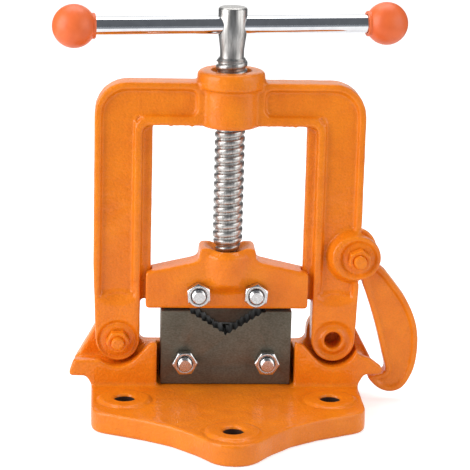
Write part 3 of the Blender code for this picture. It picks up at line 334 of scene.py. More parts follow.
def piece_from(name, shape):
    """An object at the origin from a finished bmesh."""
    mesh = bpy.data.meshes.new(name)
    shape.to_mesh(mesh)
    shape.free()
    mesh.shade_smooth()
    piece = bpy.data.objects.new(name, mesh)
    scene.collection.objects.link(piece)
    return piece


def copy_of(node, name):
    """A copy of a CAD node with its loose triangles merged."""
    shape = bmesh.new()
    shape.from_mesh(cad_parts[node].data)
    bmesh.ops.remove_doubles(shape, verts=shape.verts, dist=TOUCHING)
    return piece_from(name, shape)


print("corners closer than", TOUCHING, "m count as one")

# %% Cast it again in even cells
def settle(piece):
    """Apply a piece's modifiers."""
    bpy.context.view_layer.update()
    graph = bpy.context.evaluated_depsgraph_get()
    mesh = bpy.data.meshes.new_from_object(piece.evaluated_get(graph))
    piece.modifiers.clear()
    piece.data = mesh
    return piece


def recast(piece, cell_mm, passes):
    """Make a piece of even cells and soften it."""
    sand = piece.modifiers.new("sand", 'REMESH')
    sand.mode = 'VOXEL'
    sand.voxel_size = cell_mm * MM
    settle(piece)
    shape = bmesh.new()
    shape.from_mesh(piece.data)
    for _ in range(passes):
        bmesh.ops.smooth_vert(shape, verts=shape.verts, factor=0.5,
                              use_axis_x=True, use_axis_y=True, use_axis_z=True)
    shape.to_mesh(piece.data)
    shape.free()
    piece.data.shade_smooth()
    return piece


print("casting tools ready")

# %% Work on the skin
def ease(low, high, value):
    """Nought below low, one above high, and a soft rise between."""
    share = min(1, max(0, (value - low) / (high - low)))
    return share * share * (3 - 2 * share)


def groove(away, radius, width, depth):
    """How deep a round-bottomed ring is cut, at a distance from its centre."""
    off = abs(away - radius) / width
    return depth * (0.5 + 0.5 * cos(2 * pi * off)) if off < 0.5 else 0


def move_corners(piece, move):
    """Let move(vert) place every corner of a piece; all normals are those from before."""
    shape = bmesh.new()
    shape.from_mesh(piece.data)
    shape.normal_update()
    for vert in shape.verts:
        move(vert)
    shape.to_mesh(piece.data)
    shape.free()
    return piece


def weather(piece, depth_mm, size_mm):
    """Sink a casting's skin unevenly, never outward, as sand leaves it."""
    def sink(vert):
        share = 0.5 + 0.5 * noise.noise(vert.co / (size_mm * MM))
        vert.co -= vert.normal * share * depth_mm * MM

    return move_corners(piece, sink)


print("a quarter of the way, a soft step has risen by", ease(0, 4, 1))

# %% Dress a piece
def dress(piece, node, finish, body):
    """Give a piece its finish, and let it stand for its CAD node."""
    piece.data.materials.clear()
    piece.data.materials.append(finish)
    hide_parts(node)
    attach(piece, body)
    print(piece.name, "has", len(piece.data.polygons), "faces")
    return piece



# %% [markdown]
# ## The base
# The base is one casting: a foot, two uprights for the eyes of the yoke, and a seat
# for the jaw. Round each bolt hole stands a low pad, so that only the pad has to be
# flat under a washer. Softening would wash the pads away, so they are drawn between
# two castings of the base. The holes were drilled later and show rusty bare iron,
# kept nearly black as painted shade deep inside them.

# %% Base
BENCH_HOLES = ((-60.4, -37.7), (60.4, -37.7), (0, -92.7))
PLATE_TOP, PAD_TOP = 13.0, 14.2
HOLE_EDGE, PAD_EDGE, PAD_FOOT, MOAT_END = 6.6, 14.6, 16, 18
MOAT = (16.4, 3, 0.5)  # radius, width and depth


def from_hole(place):
    """How far a place is from the axis of its nearest bench hole, in millimetres."""
    return min(Vector((place.x / MM - x, place.y / MM - y)).length for x, y in BENCH_HOLES)


def raise_pad(vert):
    """Give each bench hole's pad a clear edge, with a shallow moat round it."""
    if vert.normal.z > 0.5 and PLATE_TOP - 1 < vert.co.z / MM < PLATE_TOP + 2:
        away = from_hole(vert.co)
        if HOLE_EDGE < away < MOAT_END:
            height = PAD_TOP - (PAD_TOP - PLATE_TOP) * ease(PAD_EDGE, PAD_FOOT, away) - groove(away, *MOAT)
            vert.co.z = height * MM


base = move_corners(recast(copy_of("base_casting", "base_cast"), 0.85, 1), raise_pad)
weather(recast(base, 0.8, 4), 0.25, 7)
dress(base, "base_casting", enamel, "base")

# %% Bare iron and painted shade in the bench holes
# Iron that a drill has cut: brown with rust and with no gloss, and kept nearly black as painted shade deep in
# the holes.
BARE_RADIUS, BARE_TOP = 6.4, 12.6
bare_iron_and_shade, bare_tree, bare_shader = begin_finish("bare_iron_and_painted_shade", Roughness=0.75, Metallic=0.2)
rust = on_object(bare_tree, 2.5, 3)
# Both rust colours are nearly black: painted shade inside the holes.
rust_and_shade_tint = add(bare_tree, "ShaderNodeMix", {"Factor": rust.outputs["Fac"], "A": linear("#1E120B"),
                                             "B": linear("#4A2A17")}, data_type='RGBA')
bare_tree.links.new(rust_and_shade_tint.outputs["Result"], bare_shader.inputs["Base Color"])
base.data.materials.append(bare_iron_and_shade)
for face in base.data.polygons:
    if from_hole(face.center) < BARE_RADIUS and face.center.z < BARE_TOP * MM:
        face.material_index = 1
print("bare faces in the bench holes:", sum(face.material_index for face in base.data.polygons))

# %% [markdown]
# ## The yoke
# The yoke is an arch with a collar for the screw, an eye at the foot of each leg and
# a lug for the hook. Its panels are sunk between ribs, which saves iron and lets the
# pattern slip out of the sand. The rings and the rounded ends of the panels are too
# fine for the CAD part. Each is a small rule that says how far from the middle plane
# a point of the face lies, so one rule shapes the front and the back alike.

# %% Panels and ribs
EYE_X, EYE_Z = 64.5, 39.5
YOKE_FACE, PANEL_FLOOR = 8.0, 5.0
PANEL_STEP = YOKE_FACE - PANEL_FLOOR
PLAIN = 0.3
PANEL_ASIDE, PANEL_HALF, PANEL_END, PANEL_BOW, PANEL_RUN = 0.4, 9.9, 60.8, 2.8, 7.5
RIB_X, RIB_Z, RIB_RADIUS, RIB_FOOT = 47.1, 166.8, 8.3, 9.5


def panel_end(x, z, depth, facing):
    """A sunk panel runs out in a curve above each eye."""
    aside = (abs(x) - EYE_X - PANEL_ASIDE) / PANEL_HALF
    if facing > PLAIN and depth > PANEL_FLOOR - 0.5 and z < 75 and abs(aside) < 1.05:
        end = PANEL_END + PANEL_BOW * aside * aside
        depth = min(depth, YOKE_FACE - PANEL_STEP * ease(end, end + PANEL_RUN, z))
    return depth


def rib_corner(x, z, depth, facing):
    """The inner rib goes round the window's upper corners in an arc."""
    if facing > PLAIN and RIB_X < abs(x) < 57 and RIB_Z < z < 177:
        away = Vector((abs(x) - RIB_X, z - RIB_Z)).length
        depth = min(depth, YOKE_FACE - PANEL_STEP * ease(RIB_RADIUS, RIB_FOOT, away))
    return depth


print("the panels are sunk by", PANEL_STEP, "mm")

# %% Lug and eyes
LUG_X, LUG_Z, LUG_FACE = 77.5, 92.0, 13.3
LUG_RADIUS, LUG_SPREAD, LUG_EDGE, LUG_SINK, LUG_DROP = 13.6, 2.4, 0.2, 2.6, 5.8
# Each ring is a groove's radius, width and depth.
LUG_RING, EYE_RING, BOLT_RING = (9.6, 2.6, 1.2), (13.8, 2.0, 0.5), (10.7, 2.8, 1.5)
STEP_DEPTH, STEP_INNER, STEP_OUTER = 1.0, (7.1, 7.9), (11.4, 12.2)


def lug_foot(x, z, depth, facing):
    """The lug widens where it stands on the leg, and a ring is cut in its face."""
    away = Vector((x - LUG_X, z - LUG_Z)).length
    if 13 < away < 26 and x < 78.5 and (depth > 7 or facing > PLAIN and depth > 3):
        ring = LUG_RADIUS + LUG_SPREAD * max(0, (LUG_X - x) / away)
        foot = (LUG_FACE - LUG_EDGE - LUG_SINK * ease(ring - 0.4, ring + 0.6, away)
                - LUG_DROP * ease(ring + 0.4, ring + 3, away))
        depth = max(depth, foot)
    if facing > PLAIN and away < 13.4 and depth > 11:
        depth -= groove(away, *LUG_RING)
    return depth


def eye_rings(x, z, depth, facing):
    """Rings round the eyes: a wide step round the empty right one, a groove round the bolted left one."""
    away = Vector((abs(x) - EYE_X, z - EYE_Z)).length
    if facing > PLAIN and depth > 6:
        depth -= groove(away, *EYE_RING)
        if x > 0:
            if 5.2 < away < 8:
                depth = YOKE_FACE - 0.1
            depth -= STEP_DEPTH * ease(*STEP_INNER, away) * (1 - ease(*STEP_OUTER, away))
        else:
            depth -= groove(away, *BOLT_RING)
    return depth


print("the lug stands", round(LUG_FACE - YOKE_FACE, 1), "mm in front of the yoke")

# %% Cut a round hole
def plain_rod(name, radius, low, high, steps=48):
    """A round rod along Z."""
    shape = bmesh.new()
    bmesh.ops.create_cone(shape, cap_ends=True, segments=steps, radius1=radius, radius2=radius,
                          depth=high - low)
    bmesh.ops.translate(shape, verts=shape.verts, vec=(0, 0, (low + high) / 2))
    return piece_from(name, shape)


def bore_out(piece, rod):
    """Cut a rod out of a piece and remove the rod."""
    cutter = piece.modifiers.new("bore", 'BOOLEAN')
    cutter.operation = 'DIFFERENCE'
    cutter.solver = 'EXACT'
    cutter.object = rod
    settle(piece)
    bpy.data.objects.remove(rod)
    return piece


print("hole cutter ready")

# %% Put rules to work
BEAM_BOTTOM, BEAM_SPAN, DRIP = (165, 172), (17, 50), 1.1


def work_faces(piece, *rules):
    """Set depths by rules of (x, z, depth, facing), in mm; facing is 1 on a plain front or back face."""
    def cut(vert):
        side = -1 if vert.co.y < 0 else 1
        depth = side * vert.co.y / MM
        for rule in rules:
            depth = rule(vert.co.x / MM, vert.co.z / MM, depth, side * vert.normal.y)
        vert.co.y = side * MM * depth

    return move_corners(piece, cut)


def drip(vert):
    """Let the enamel sag in drops under the beam."""
    x, z = vert.co.x / MM, vert.co.z / MM
    in_beam = BEAM_BOTTOM[0] < z < BEAM_BOTTOM[1] and BEAM_SPAN[0] < abs(x) < BEAM_SPAN[1]
    if vert.normal.z < -PLAIN and in_beam:
        vert.co.z -= DRIP * MM * max(0, noise.noise((x * 0.33, vert.co.y / MM * 0.15, 5)))


def mouth(piece, near, far, above, rule):
    """Set heights in a ring round the screw's axis by rule(radius, height), in millimetres."""
    def sink(vert):
        away = vert.co.xy.length / MM
        if near < away < far and vert.co.z / MM > above:
            vert.co.z = rule(away, vert.co.z / MM) * MM

    return move_corners(piece, sink)


print("drips hang up to", DRIP, "mm")

# %% Yoke
BORE_RADIUS = 10.1
MOUTH_EDGE, MOUTH_DROP, MOUTH_STEP = 0.15, 2.8, (11.1, 12.1)
yoke_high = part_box("yoke_casting")[1]
collar_top = yoke_high.z / MM


def collar_mouth(away, height):
    """The screw's hole has a wide step in its top."""
    return collar_top - MOUTH_EDGE - MOUTH_DROP * (1 - ease(*MOUTH_STEP, away))


yoke = copy_of("yoke_casting", "yoke_cast")
bore_out(yoke, plain_rod("bore", BORE_RADIUS * MM, 0.16, yoke_high.z + 0.01))
work_faces(recast(yoke, 0.8, 1), panel_end, rib_corner, lug_foot, eye_rings)
move_corners(weather(recast(yoke, 0.75, 4), 0.25, 7), drip)
mouth(yoke, 9.6, 14, collar_top - 4, collar_mouth)
dress(yoke, "yoke_casting", enamel, "yoke")

# %% [markdown]
# ## The crosshead
# The crosshead slides between the legs and carries the upper jaw. In front of the
# screw it swells into a half round, because the screw's foot needs iron all round.
# The swelling is in the CAD part. The rule here only softens its foot and its sides,
# and a second one opens the mouth where the screw goes in.

# %% Crosshead
CROSSHEAD_FACE = 10
SWELL_RADIUS, SWELL_FOOT = 15.3, (68.5, 76)
FLARE, FLARE_SIDE = 1.3, (9.5, 14.5)


def swelling(x, z, depth, facing):
    """A half-round swelling in front of the screw, with a soft foot and soft sides."""
    if facing > PLAIN and depth > 9 and abs(x) < 15 and 68 < z < 92.5:
        swell = max(sqrt(max(0, SWELL_RADIUS ** 2 - x * x)) - CROSSHEAD_FACE,
                    FLARE * (1 - ease(*FLARE_SIDE, abs(x))))
        depth = max(depth, CROSSHEAD_FACE - 0.1 + swell * ease(*SWELL_FOOT, z))
    return depth


def crosshead_mouth(away, height):
    """The screw's mouth is dished towards its middle."""
    return min(height, 93.2 + 0.65 * (away - 8))


crosshead = recast(copy_of("crosshead_casting", "crosshead_cast"), 0.7, 1)
mouth(work_faces(crosshead, swelling), 7, 14, 88, crosshead_mouth)
weather(recast(crosshead, 0.6, 5), 0.15, 6)
dress(crosshead, "crosshead_casting", enamel, "crosshead")

# %% [markdown]
# ## The hook
# The hook hangs from the lug and holds the yoke shut. It is a flat casting with a
# raised rim, and the rim follows its outline all the way round. An inset would
# cross itself in the narrow nose. So every point of the faces is sunk by how far it
# is from the nearest point of the edge, which a search tree finds quickly.

# %% Hook
HOOK_FACE = 5.8
RIM_WIDTH, RIM_HEIGHT = 3.4, 1.5


def rim(piece, face, inset, depth):
    """Sink both faces of a flat piece, but for a rim along its outline."""
    edge = [vert.co for vert in piece.data.vertices if abs(vert.co.y) < 0.6 * face * MM]
    near = kdtree.KDTree(len(edge))
    for index, place in enumerate(edge):
        near.insert((place.x, 0, place.z), index)
    near.balance()

    def sink(vert):
        if abs(vert.co.y) > 0.7 * face * MM:
            away = near.find((vert.co.x, 0, vert.co.z))[2] / MM
            if away > 0.7:
                side = 1 if vert.co.y > 0 else -1
                vert.co.y = side * (face - depth * ease(inset - 0.5, inset + 0.5, away)) * MM

    return move_corners(piece, sink)


hook = recast(copy_of("hook_casting", "hook_cast"), 0.6, 1)
weather(recast(rim(hook, HOOK_FACE, RIM_WIDTH, RIM_HEIGHT), 0.5, 4), 0.12, 5)
dress(hook, "hook_casting", enamel, "hook")

# %% [markdown]
# ## Bright and dark metal
# Four metals meet here. The jaws are tool steel, ground flat and blackened, so a
# faint grain runs across them. The bolts are zinc plated and the screw is turned
# and rolled steel. Chrome is the smoothest and mirrors the whole studio. All of
# them are metals to the shader, so their tint, roughness and grain tell them apart.
# Real grain is a tenth of a millimetre or less. It is drawn coarser, so that it shows.

# %% Blackened steel
GRINDING_MM, CLOUD_MM = 0.8, 9


def make_black_steel(name, low, high):
    """Ground tool steel under a black oxide: dull and cloudy, with its grinding lines across."""
    material, tree, shader = begin_finish(name, Metallic=0.85, Roughness=0.5)
    grain = on_object(tree, GRINDING_MM, 3, 0.65, (0.6, 1, 1))
    cloud = on_object(tree, CLOUD_MM, 3)
    mixed = add(tree, "ShaderNodeMix", {"A": cloud.outputs["Fac"], "B": grain.outputs["Fac"], "Factor": 0.75},
                data_type='FLOAT')
    tint = add(tree, "ShaderNodeValToRGB", {"Fac": mixed.outputs[0]})
    set_tints(tint, 0.35, low, 0.68, high)
    tree.links.new(tint.outputs["Color"], shader.inputs["Base Color"])
    lines = add(tree, "ShaderNodeBump", {"Height": grain.outputs["Fac"], "Strength": 0.3,
                                         "Distance": 0.05 * MM})
    tree.links.new(lines.outputs["Normal"], shader.inputs["Normal"])
    return material


black_steel = make_black_steel("blackened_tool_steel", "#635D50", "#7D776A")
# The wedge lies in the crosshead's shade, so it has a darker copy of the steel: painted shade.
black_steel_painted_shade = make_black_steel("blackened_steel_painted_shade", "#45413A", "#57534B")
print("made", black_steel.name, black_steel_painted_shade.name)

# %% Zinc plate, turned steel and chrome
def make_bright(name, dark, light, roughness, grain_mm, stretch, depth_mm):
    """A bright metal with a fine grain and a slightly uneven tint."""
    material, tree, shader = begin_finish(name, Metallic=1.0, Roughness=roughness)
    grain = on_object(tree, grain_mm, 3, 0.6, stretch)
    tint = add(tree, "ShaderNodeValToRGB", {"Fac": grain.outputs["Fac"]})
    set_tints(tint, 0.3, dark, 0.7, light)
    tree.links.new(tint.outputs["Color"], shader.inputs["Base Color"])
    lines = add(tree, "ShaderNodeBump", {"Height": grain.outputs["Fac"], "Strength": 0.3,
                                         "Distance": depth_mm * MM})
    tree.links.new(lines.outputs["Normal"], shader.inputs["Normal"])
    return material


# Zinc is a little milky, because its plating is made of small crystals.
zinc = make_bright("zinc_plated_steel", "#B9B8B6", "#DCDCDD", 0.26, 0.9, (1, 1, 1), 0.05)
# The screw's grain is drawn out along its axis, as rolling leaves it.
turned_steel = make_bright("turned_bright_steel", "#979592", "#CCCAC7", 0.33, 1.0, (1, 1, 0.1), 0.08)
# Chrome is polished before it is plated, so only wide, shallow ripples are left.
chrome = make_bright("polished_chrome", "#D4D6DA", "#E2E4E7", 0.06, 6, (1, 1, 1), 0.01)
print("made", zinc.name, turned_steel.name, chrome.name)

# %% [markdown]
# ## Satin plastic
# The balls at the ends of the bar are moulded plastic, a redder orange than the
# enamel. Their highlights are wide and soft, so the shader is rougher than the
# enamel's film and has no coat, and fine noise gives the skin a faint ripple.

# %% Plastic for the balls
def make_ball_plastic():
    """Satin orange plastic, redder than the castings."""
    material, tree, shader = begin_finish("satin_orange_plastic", Roughness=0.38, IOR=1.46)
    drift = on_object(tree, 7, 2)
    tint = add(tree, "ShaderNodeValToRGB", {"Fac": drift.outputs["Fac"]})
    set_tints(tint, 0.3, "#E4662F", 0.7, "#EE7037")
    tree.links.new(tint.outputs["Color"], shader.inputs["Base Color"])
    ripple = on_object(tree, 1.5, 2)
    skin = add(tree, "ShaderNodeBump", {"Height": ripple.outputs["Fac"], "Strength": 0.2,
                                        "Distance": 0.08 * MM})
    tree.links.new(skin.outputs["Normal"], shader.inputs["Normal"])
    return material


ball_plastic = make_ball_plastic()
print("made", ball_plastic.name)

# %% [markdown]
# ## The jaws
# Each jaw is a flat block of steel with sawn teeth, so here a bevel works well: the
# faces are flat and few. Its hair-wide chamfer is the bright line that shows where
# a ground block ends. Small webs fill the roots of the notch at the back: dark fill
# that stands in for the shade between the closed jaws and keeps daylight from
# showing there.

# %% Blocks with broken edges
CHAMFER = 0.25


def break_edges(piece, width_mm, sharp_degrees=20):
    """Join flat faces and bevel what is left of the sharp edges."""
    shape = bmesh.new()
    shape.from_mesh(piece.data)
    bmesh.ops.dissolve_limit(shape, angle_limit=radians(1), verts=shape.verts, edges=shape.edges,
                             use_dissolve_boundaries=False)
    sharp = [e for e in shape.edges if e.is_manifold and e.calc_face_angle() > radians(sharp_degrees)]
    bmesh.ops.bevel(shape, geom=sharp, offset=width_mm * MM, offset_type='OFFSET', affect='EDGES', segments=2,
                    profile=0.5, material=-1, clamp_overlap=True)
    shape.to_mesh(piece.data)
    shape.free()
    piece.data.shade_smooth()
    piece.data.set_sharp_from_angle(angle=radians(30))
    return piece


lower_jaw = break_edges(copy_of("lower_jaw", "notched_jaw"), CHAMFER)
upper_jaw = break_edges(copy_of("upper_jaw", "wedge_jaw"), CHAMFER)
print("jaws have", len(lower_jaw.data.polygons), "and", len(upper_jaw.data.polygons), "faces")

# %% Webs behind the notch
WEB_BACK, ROOT_WEB_FRONT, TOOTH_WEB_FRONT = 10.7, 6.0, 8.6
NOTCH_ROOT = ((0, 43.2), (3.6, 45.8), (-3.6, 45.8))
TOOTH_ROOT = ((1.6, 45.9), (4.7, 45.9), (4.97, 48.04))
TOOTH_ACROSS, TOOTH_UP = 3.373, 2.144


def web(outline, front):
    """A small prism that fills a corner, from front to the back of the webs."""
    shape = bmesh.new()
    face = shape.faces.new([shape.verts.new((x * MM, front * MM, z * MM)) for x, z in outline])
    pushed = bmesh.ops.extrude_face_region(shape, geom=[face], use_keep_orig=True)["geom"]
    corners = [item for item in pushed if isinstance(item, bmesh.types.BMVert)]
    bmesh.ops.translate(shape, verts=corners, vec=(0, (WEB_BACK - front) * MM, 0))
    bmesh.ops.recalc_face_normals(shape, faces=shape.faces)
    return shape


def add_shape(target, source):
    """Put a copy of one bmesh into another, and free it."""
    mesh = bpy.data.meshes.new("part")
    source.to_mesh(mesh)
    source.free()
    target.from_mesh(mesh)
    bpy.data.meshes.remove(mesh)


# The webs are dark fill: they stand in for the shade in the roots of the notch.
webbed = bmesh.new()
webbed.from_mesh(lower_jaw.data)
add_shape(webbed, web(NOTCH_ROOT, ROOT_WEB_FRONT))
for tooth in range(1, 5):
    across, up = TOOTH_ACROSS * tooth, TOOTH_UP * tooth
    for side in (-1, 1):
        outline = [(side * (x + across), z + up) for x, z in TOOTH_ROOT]
        add_shape(webbed, web(outline, TOOTH_WEB_FRONT))
webbed.to_mesh(lower_jaw.data)
webbed.free()
print("the lower jaw now has", len(lower_jaw.data.polygons), "faces")

# %% Painted shade in the teeth
# The teeth lie in shade between the jaws, so their faces are painted nearly black as painted shade, too dull
# to mirror anything.
teeth_painted_shade = begin_finish("painted_shade_on_teeth", Base_Color=linear("#1E1C19"), Metallic=0.7, Roughness=0.6)[0]
TEETH_HALF_WIDTH = 24.5


def paint_shade_on_teeth(piece, low, high):
    """Paint shade on the toothed faces of a jaw: they take a nearly black second material."""
    piece.data.materials.append(teeth_painted_shade)
    for face in piece.data.polygons:
        place = face.center / MM
        if abs(face.normal.y) < 0.7 and abs(place.x) < TEETH_HALF_WIDTH and low < place.z < high:
            face.material_index = 1


dress(lower_jaw, "lower_jaw", black_steel, "base")
paint_shade_on_teeth(lower_jaw, 43, 58.3)
dress(upper_jaw, "upper_jaw", black_steel_painted_shade, "crosshead")
paint_shade_on_teeth(upper_jaw, 48, 59.5)

# %% [markdown]
# ## Nuts and bolts
# A nut starts as a round blank that a lathe chamfers at both ends, and then six
# flats are milled off. Doing the same here gives the curved edges where each flat
# meets the chamfer, which no plain hexagon has. A bolt's thread is a small profile
# spun round the axis while it rises by one pitch a turn.

# %% Turn a profile on the lathe
def turn(profile, steps=64, closed=False):
    """Spin a profile of (radius, height) in millimetres round Z."""
    shape = bmesh.new()
    line = [shape.verts.new((radius * MM, 0, height * MM)) for radius, height in profile]
    edges = [shape.edges.new(pair) for pair in zip(line, line[1:])]
    if closed:
        edges.append(shape.edges.new((line[-1], line[0])))
    bmesh.ops.spin(shape, geom=line + edges, cent=(0, 0, 0), axis=(0, 0, 1), dvec=(0, 0, 0), angle=2 * pi,
                   steps=steps, use_merge=True, use_duplicate=False)
    bmesh.ops.remove_doubles(shape, verts=shape.verts, dist=TOUCHING)
    bmesh.ops.recalc_face_normals(shape, faces=shape.faces)
    return shape


def slice_off(shape, point, outward):
    """Cut off all that lies beyond a plane, and close the cut."""
    everything = shape.verts[:] + shape.edges[:] + shape.faces[:]
    bmesh.ops.bisect_plane(shape, geom=everything, dist=0, plane_co=point, plane_no=outward, clear_outer=True)
    open_edges = [edge for edge in shape.edges if edge.is_boundary]
    bmesh.ops.holes_fill(shape, edges=open_edges, sides=0)


def mill_hexagon(shape, across_mm, turned=0.0):
    """Mill six flats on a turned blank."""
    for side in range(6):
        angle = turned + side * pi / 3
        outward = Vector((cos(angle), sin(angle), 0))
        slice_off(shape, outward * across_mm / 2 * MM, outward)


print("lathe ready")

# %% A thread is a spun profile that rises
BOLT_RADIUS, BOLT_ROOT = 4.0, 3.4
BOLT_PITCH = 1.25
bolt_profile = [(BOLT_ROOT, 0), (BOLT_ROOT, 0.12), (BOLT_RADIUS - 0.05, 0.5), (BOLT_RADIUS, 0.56),
                (BOLT_RADIUS, 0.69), (BOLT_RADIUS - 0.05, 0.75), (BOLT_ROOT, 1.13), (BOLT_ROOT, BOLT_PITCH)]


def thread(profile, pitch, low, high, steps=48):
    """A closed threaded rod from low to high; profile is one pitch of (radius, height), in mm."""
    one_turn = bmesh.new()
    line = [one_turn.verts.new((radius * MM, 0, (low - pitch + height) * MM)) for radius, height in profile]
    edges = [one_turn.edges.new(pair) for pair in zip(line, line[1:])]
    bmesh.ops.spin(one_turn, geom=line + edges, cent=(0, 0, 0), axis=(0, 0, 1), angle=2 * pi, steps=steps,
                   dvec=(0, 0, pitch * MM / steps), use_merge=False, use_duplicate=False)
    mesh = bpy.data.meshes.new("turn")
    one_turn.to_mesh(mesh)
    one_turn.free()
    shape = bmesh.new()
    for _ in range(int((high - low) / pitch) + 3):
        shape.from_mesh(mesh)
        mesh.transform(Matrix.Translation((0, 0, pitch * MM)))
    bpy.data.meshes.remove(mesh)
    bmesh.ops.remove_doubles(shape, verts=shape.verts, dist=TOUCHING)
    slice_off(shape, (0, 0, low * MM), (0, 0, -1))
    slice_off(shape, (0, 0, high * MM), (0, 0, 1))
    bmesh.ops.recalc_face_normals(shape, faces=shape.faces)
    return shape


def narrow(shape, limit):
    """Draw in what stands further from the axis than limit(height), in millimetres."""
    for vert in shape.verts:
        most = limit(vert.co.z / MM) * MM
        reach = vert.co.xy.length
        if reach > most:
            vert.co.xy *= most / reach


print("bolt thread rises", BOLT_PITCH, "mm a turn")

# %% The round blank of a nut or a bolt's head
NUT_FLATS, CHAMFER_SHARE = 13.0, 0.97
SUNK_OUT, SUNK_DOWN, SUNK_EDGE = 0.5, 0.6, 0.05


def hexagon_blank(height, bore, flats=NUT_FLATS):
    """A nut's blank: both ends chamfered at 30 degrees, and countersunk where it has a bore."""
    corner = flats / sqrt(3)
    shoulder = flats / 2 * CHAMFER_SHARE
    drop = (corner - shoulder) * tan(radians(30))
    outside = [(shoulder, 0), (corner, drop), (corner, height - drop), (shoulder, height)]
    if not bore:
        return turn([(0, 0)] + outside + [(0, height)], 96)
    inside = [(bore, height - SUNK_DOWN), (bore, SUNK_DOWN), (bore + SUNK_OUT, SUNK_EDGE)]
    return turn(inside + outside + [(bore + SUNK_OUT, height - SUNK_EDGE)], 96, closed=True)


print("a nut is", NUT_FLATS, "mm across its flats")

# %% Nut and bolt
HEAD_HEIGHT, THREADED, TIP_RADIUS, TIP_SLOPE = 5.3, 11, 3.35, 1.1
SHANK_RADIUS, SHANK_FOOT = 3.9, 10.9


def to_front(shape, centre, front):
    """Lay a shape that was made along Z along Y, with its foot at front."""
    place = Matrix.Translation((centre.x, front, centre.z)) @ Matrix.Rotation(-pi / 2, 4, 'X')
    bmesh.ops.transform(shape, matrix=place, verts=shape.verts)
    return shape


def place_of(node):
    """The centre of a CAD node's box, its front, and its length along Y in millimetres."""
    low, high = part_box(node)
    return (low + high) / 2, low.y, (high.y - low.y) / MM


def finish_sharp(name, shape, bevel_mm=0.12):
    """Bevel the sharp edges a little and shade the rest smooth."""
    sharp = [e for e in shape.edges if e.is_manifold and e.calc_face_angle() > radians(24)]
    bmesh.ops.bevel(shape, geom=sharp, offset=bevel_mm * MM, offset_type='OFFSET', affect='EDGES', segments=1,
                    profile=0.5, material=-1, clamp_overlap=True)
    piece = piece_from(name, shape)
    piece.data.set_sharp_from_angle(angle=radians(32))
    return piece


def make_nut(node, name, turned, flats=NUT_FLATS, bore=BOLT_RADIUS + 0.3):
    """A nut in the place of its CAD node."""
    centre, front, length = place_of(node)
    shape = hexagon_blank(length, bore, flats)
    mill_hexagon(shape, flats, turned)
    return finish_sharp(name, to_front(shape, centre, front))


def make_bolt(node, name):
    """A bolt in the place of its CAD node: threaded tip in front, head behind."""
    centre, front, length = place_of(node)
    head_foot = length - HEAD_HEIGHT
    shape = thread(bolt_profile, BOLT_PITCH, 0.02, THREADED)
    narrow(shape, lambda height: TIP_RADIUS + height * TIP_SLOPE)
    add_shape(shape, turn([(0, SHANK_FOOT), (SHANK_RADIUS, SHANK_FOOT), (SHANK_RADIUS, head_foot + 0.5),
                           (0, head_foot + 0.5)], 48))
    head = hexagon_blank(HEAD_HEIGHT, 0)
    mill_hexagon(head, NUT_FLATS, pi / 6)
    bmesh.ops.translate(head, verts=head.verts, vec=(0, 0, head_foot * MM))
    add_shape(shape, head)
    piece = piece_from(name, to_front(shape, centre, front))
    piece.data.set_sharp_from_angle(angle=radians(30))
    return piece


print("a bolt's head is", HEAD_HEIGHT, "mm high")

# %% Bolts that hold the jaws
NUT_TURNS = {("lower", "left"): radians(27), ("lower", "right"): radians(33),
             ("upper", "left"): radians(-4), ("upper", "right"): radians(5)}
for jaw, body in (("lower", "base"), ("upper", "crosshead")):
    for word in ("left", "right"):
        stem = jaw + "_jaw_"
        nut = make_nut(stem + "nut_" + word, stem + "zinc_nut_" + word, NUT_TURNS[jaw, word])
        dress(nut, stem + "nut_" + word, zinc, body)
        bolt = make_bolt(stem + "bolt_" + word, stem + "zinc_bolt_" + word)
        dress(bolt, stem + "bolt_" + word, zinc, body)

# %% [markdown]
# ## Painted nuts and bolts
# The bolts of the hinge and the hook were fitted before the vise was painted, so the
# enamel fills their threads and rounds their corners. They are made like the bright
# ones and then cast again in small cells, as the castings are.

# %% Painted nuts and bolts
PAINTED_FLATS, PAINTED_BORE = 12.2, 3.7
for stem, body, turned in (("hinge", "base", radians(28)), ("hook", "yoke", radians(8))):
    nut = make_nut(stem + "_nut", stem + "_painted_nut", turned, PAINTED_FLATS, PAINTED_BORE)
    dress(recast(nut, 0.3, 5), stem + "_nut", enamel, body)
    bolt = make_bolt(stem + "_bolt", stem + "_painted_bolt")
    dress(recast(bolt, 0.35, 5), stem + "_bolt", enamel, body)

# %% [markdown]
# ## The screw
# The screw's coarse thread is rolled, so its crests are round and a little uneven.
# It fades out under a plain neck, and the head above it has a cross hole for the
# bar. One profile could be spun for thread, neck and head together only if they all
# rose alike, so the thread is its own shape and is put with the turned ones.

# %% Coarse thread
PITCH = 5.0
CREST, ROOT = 8.9, 7.75
THREAD_FOOT, THREAD_END, THREAD_START = 92.8, 209.6, 1.0
RUN_OUT_RADIUS, RUN_OUT_SLOPE = 7.2, 0.7
TAPER_TOP, TAPER, TAPER_LEAST = 101, 0.034, 0.76
UNEVEN, UNEVEN_PER_METRE = 0.012, 260
THICKER, THICKER_FROM = 0.04, (186, 204)
screw_profile = [(ROOT, 0), (ROOT, 0.45), (ROOT + 0.3, 0.66), (CREST - 0.3, 1.05), (CREST - 0.1, 1.35),
                 (CREST, 1.95), (CREST, 3.05), (CREST - 0.1, 3.65), (CREST - 0.3, 3.95), (ROOT + 0.3, 4.34),
                 (ROOT, 4.55), (ROOT, PITCH)]
screw_thread = thread([(radius, height + THREAD_START) for radius, height in screw_profile],
                      PITCH, THREAD_FOOT, THREAD_END, 64)
narrow(screw_thread, lambda height: min(CREST, RUN_OUT_RADIUS + (THREAD_END - height) * RUN_OUT_SLOPE))
for vert in screw_thread.verts:
    vert.co.xy *= max(TAPER_LEAST, 1 - TAPER * max(0, TAPER_TOP - vert.co.z / MM))
    vert.co.xy *= (1 + UNEVEN * noise.noise(vert.co * UNEVEN_PER_METRE)
                   + THICKER * ease(*THICKER_FROM, vert.co.z / MM))
print("the thread has", len(screw_thread.faces), "faces")

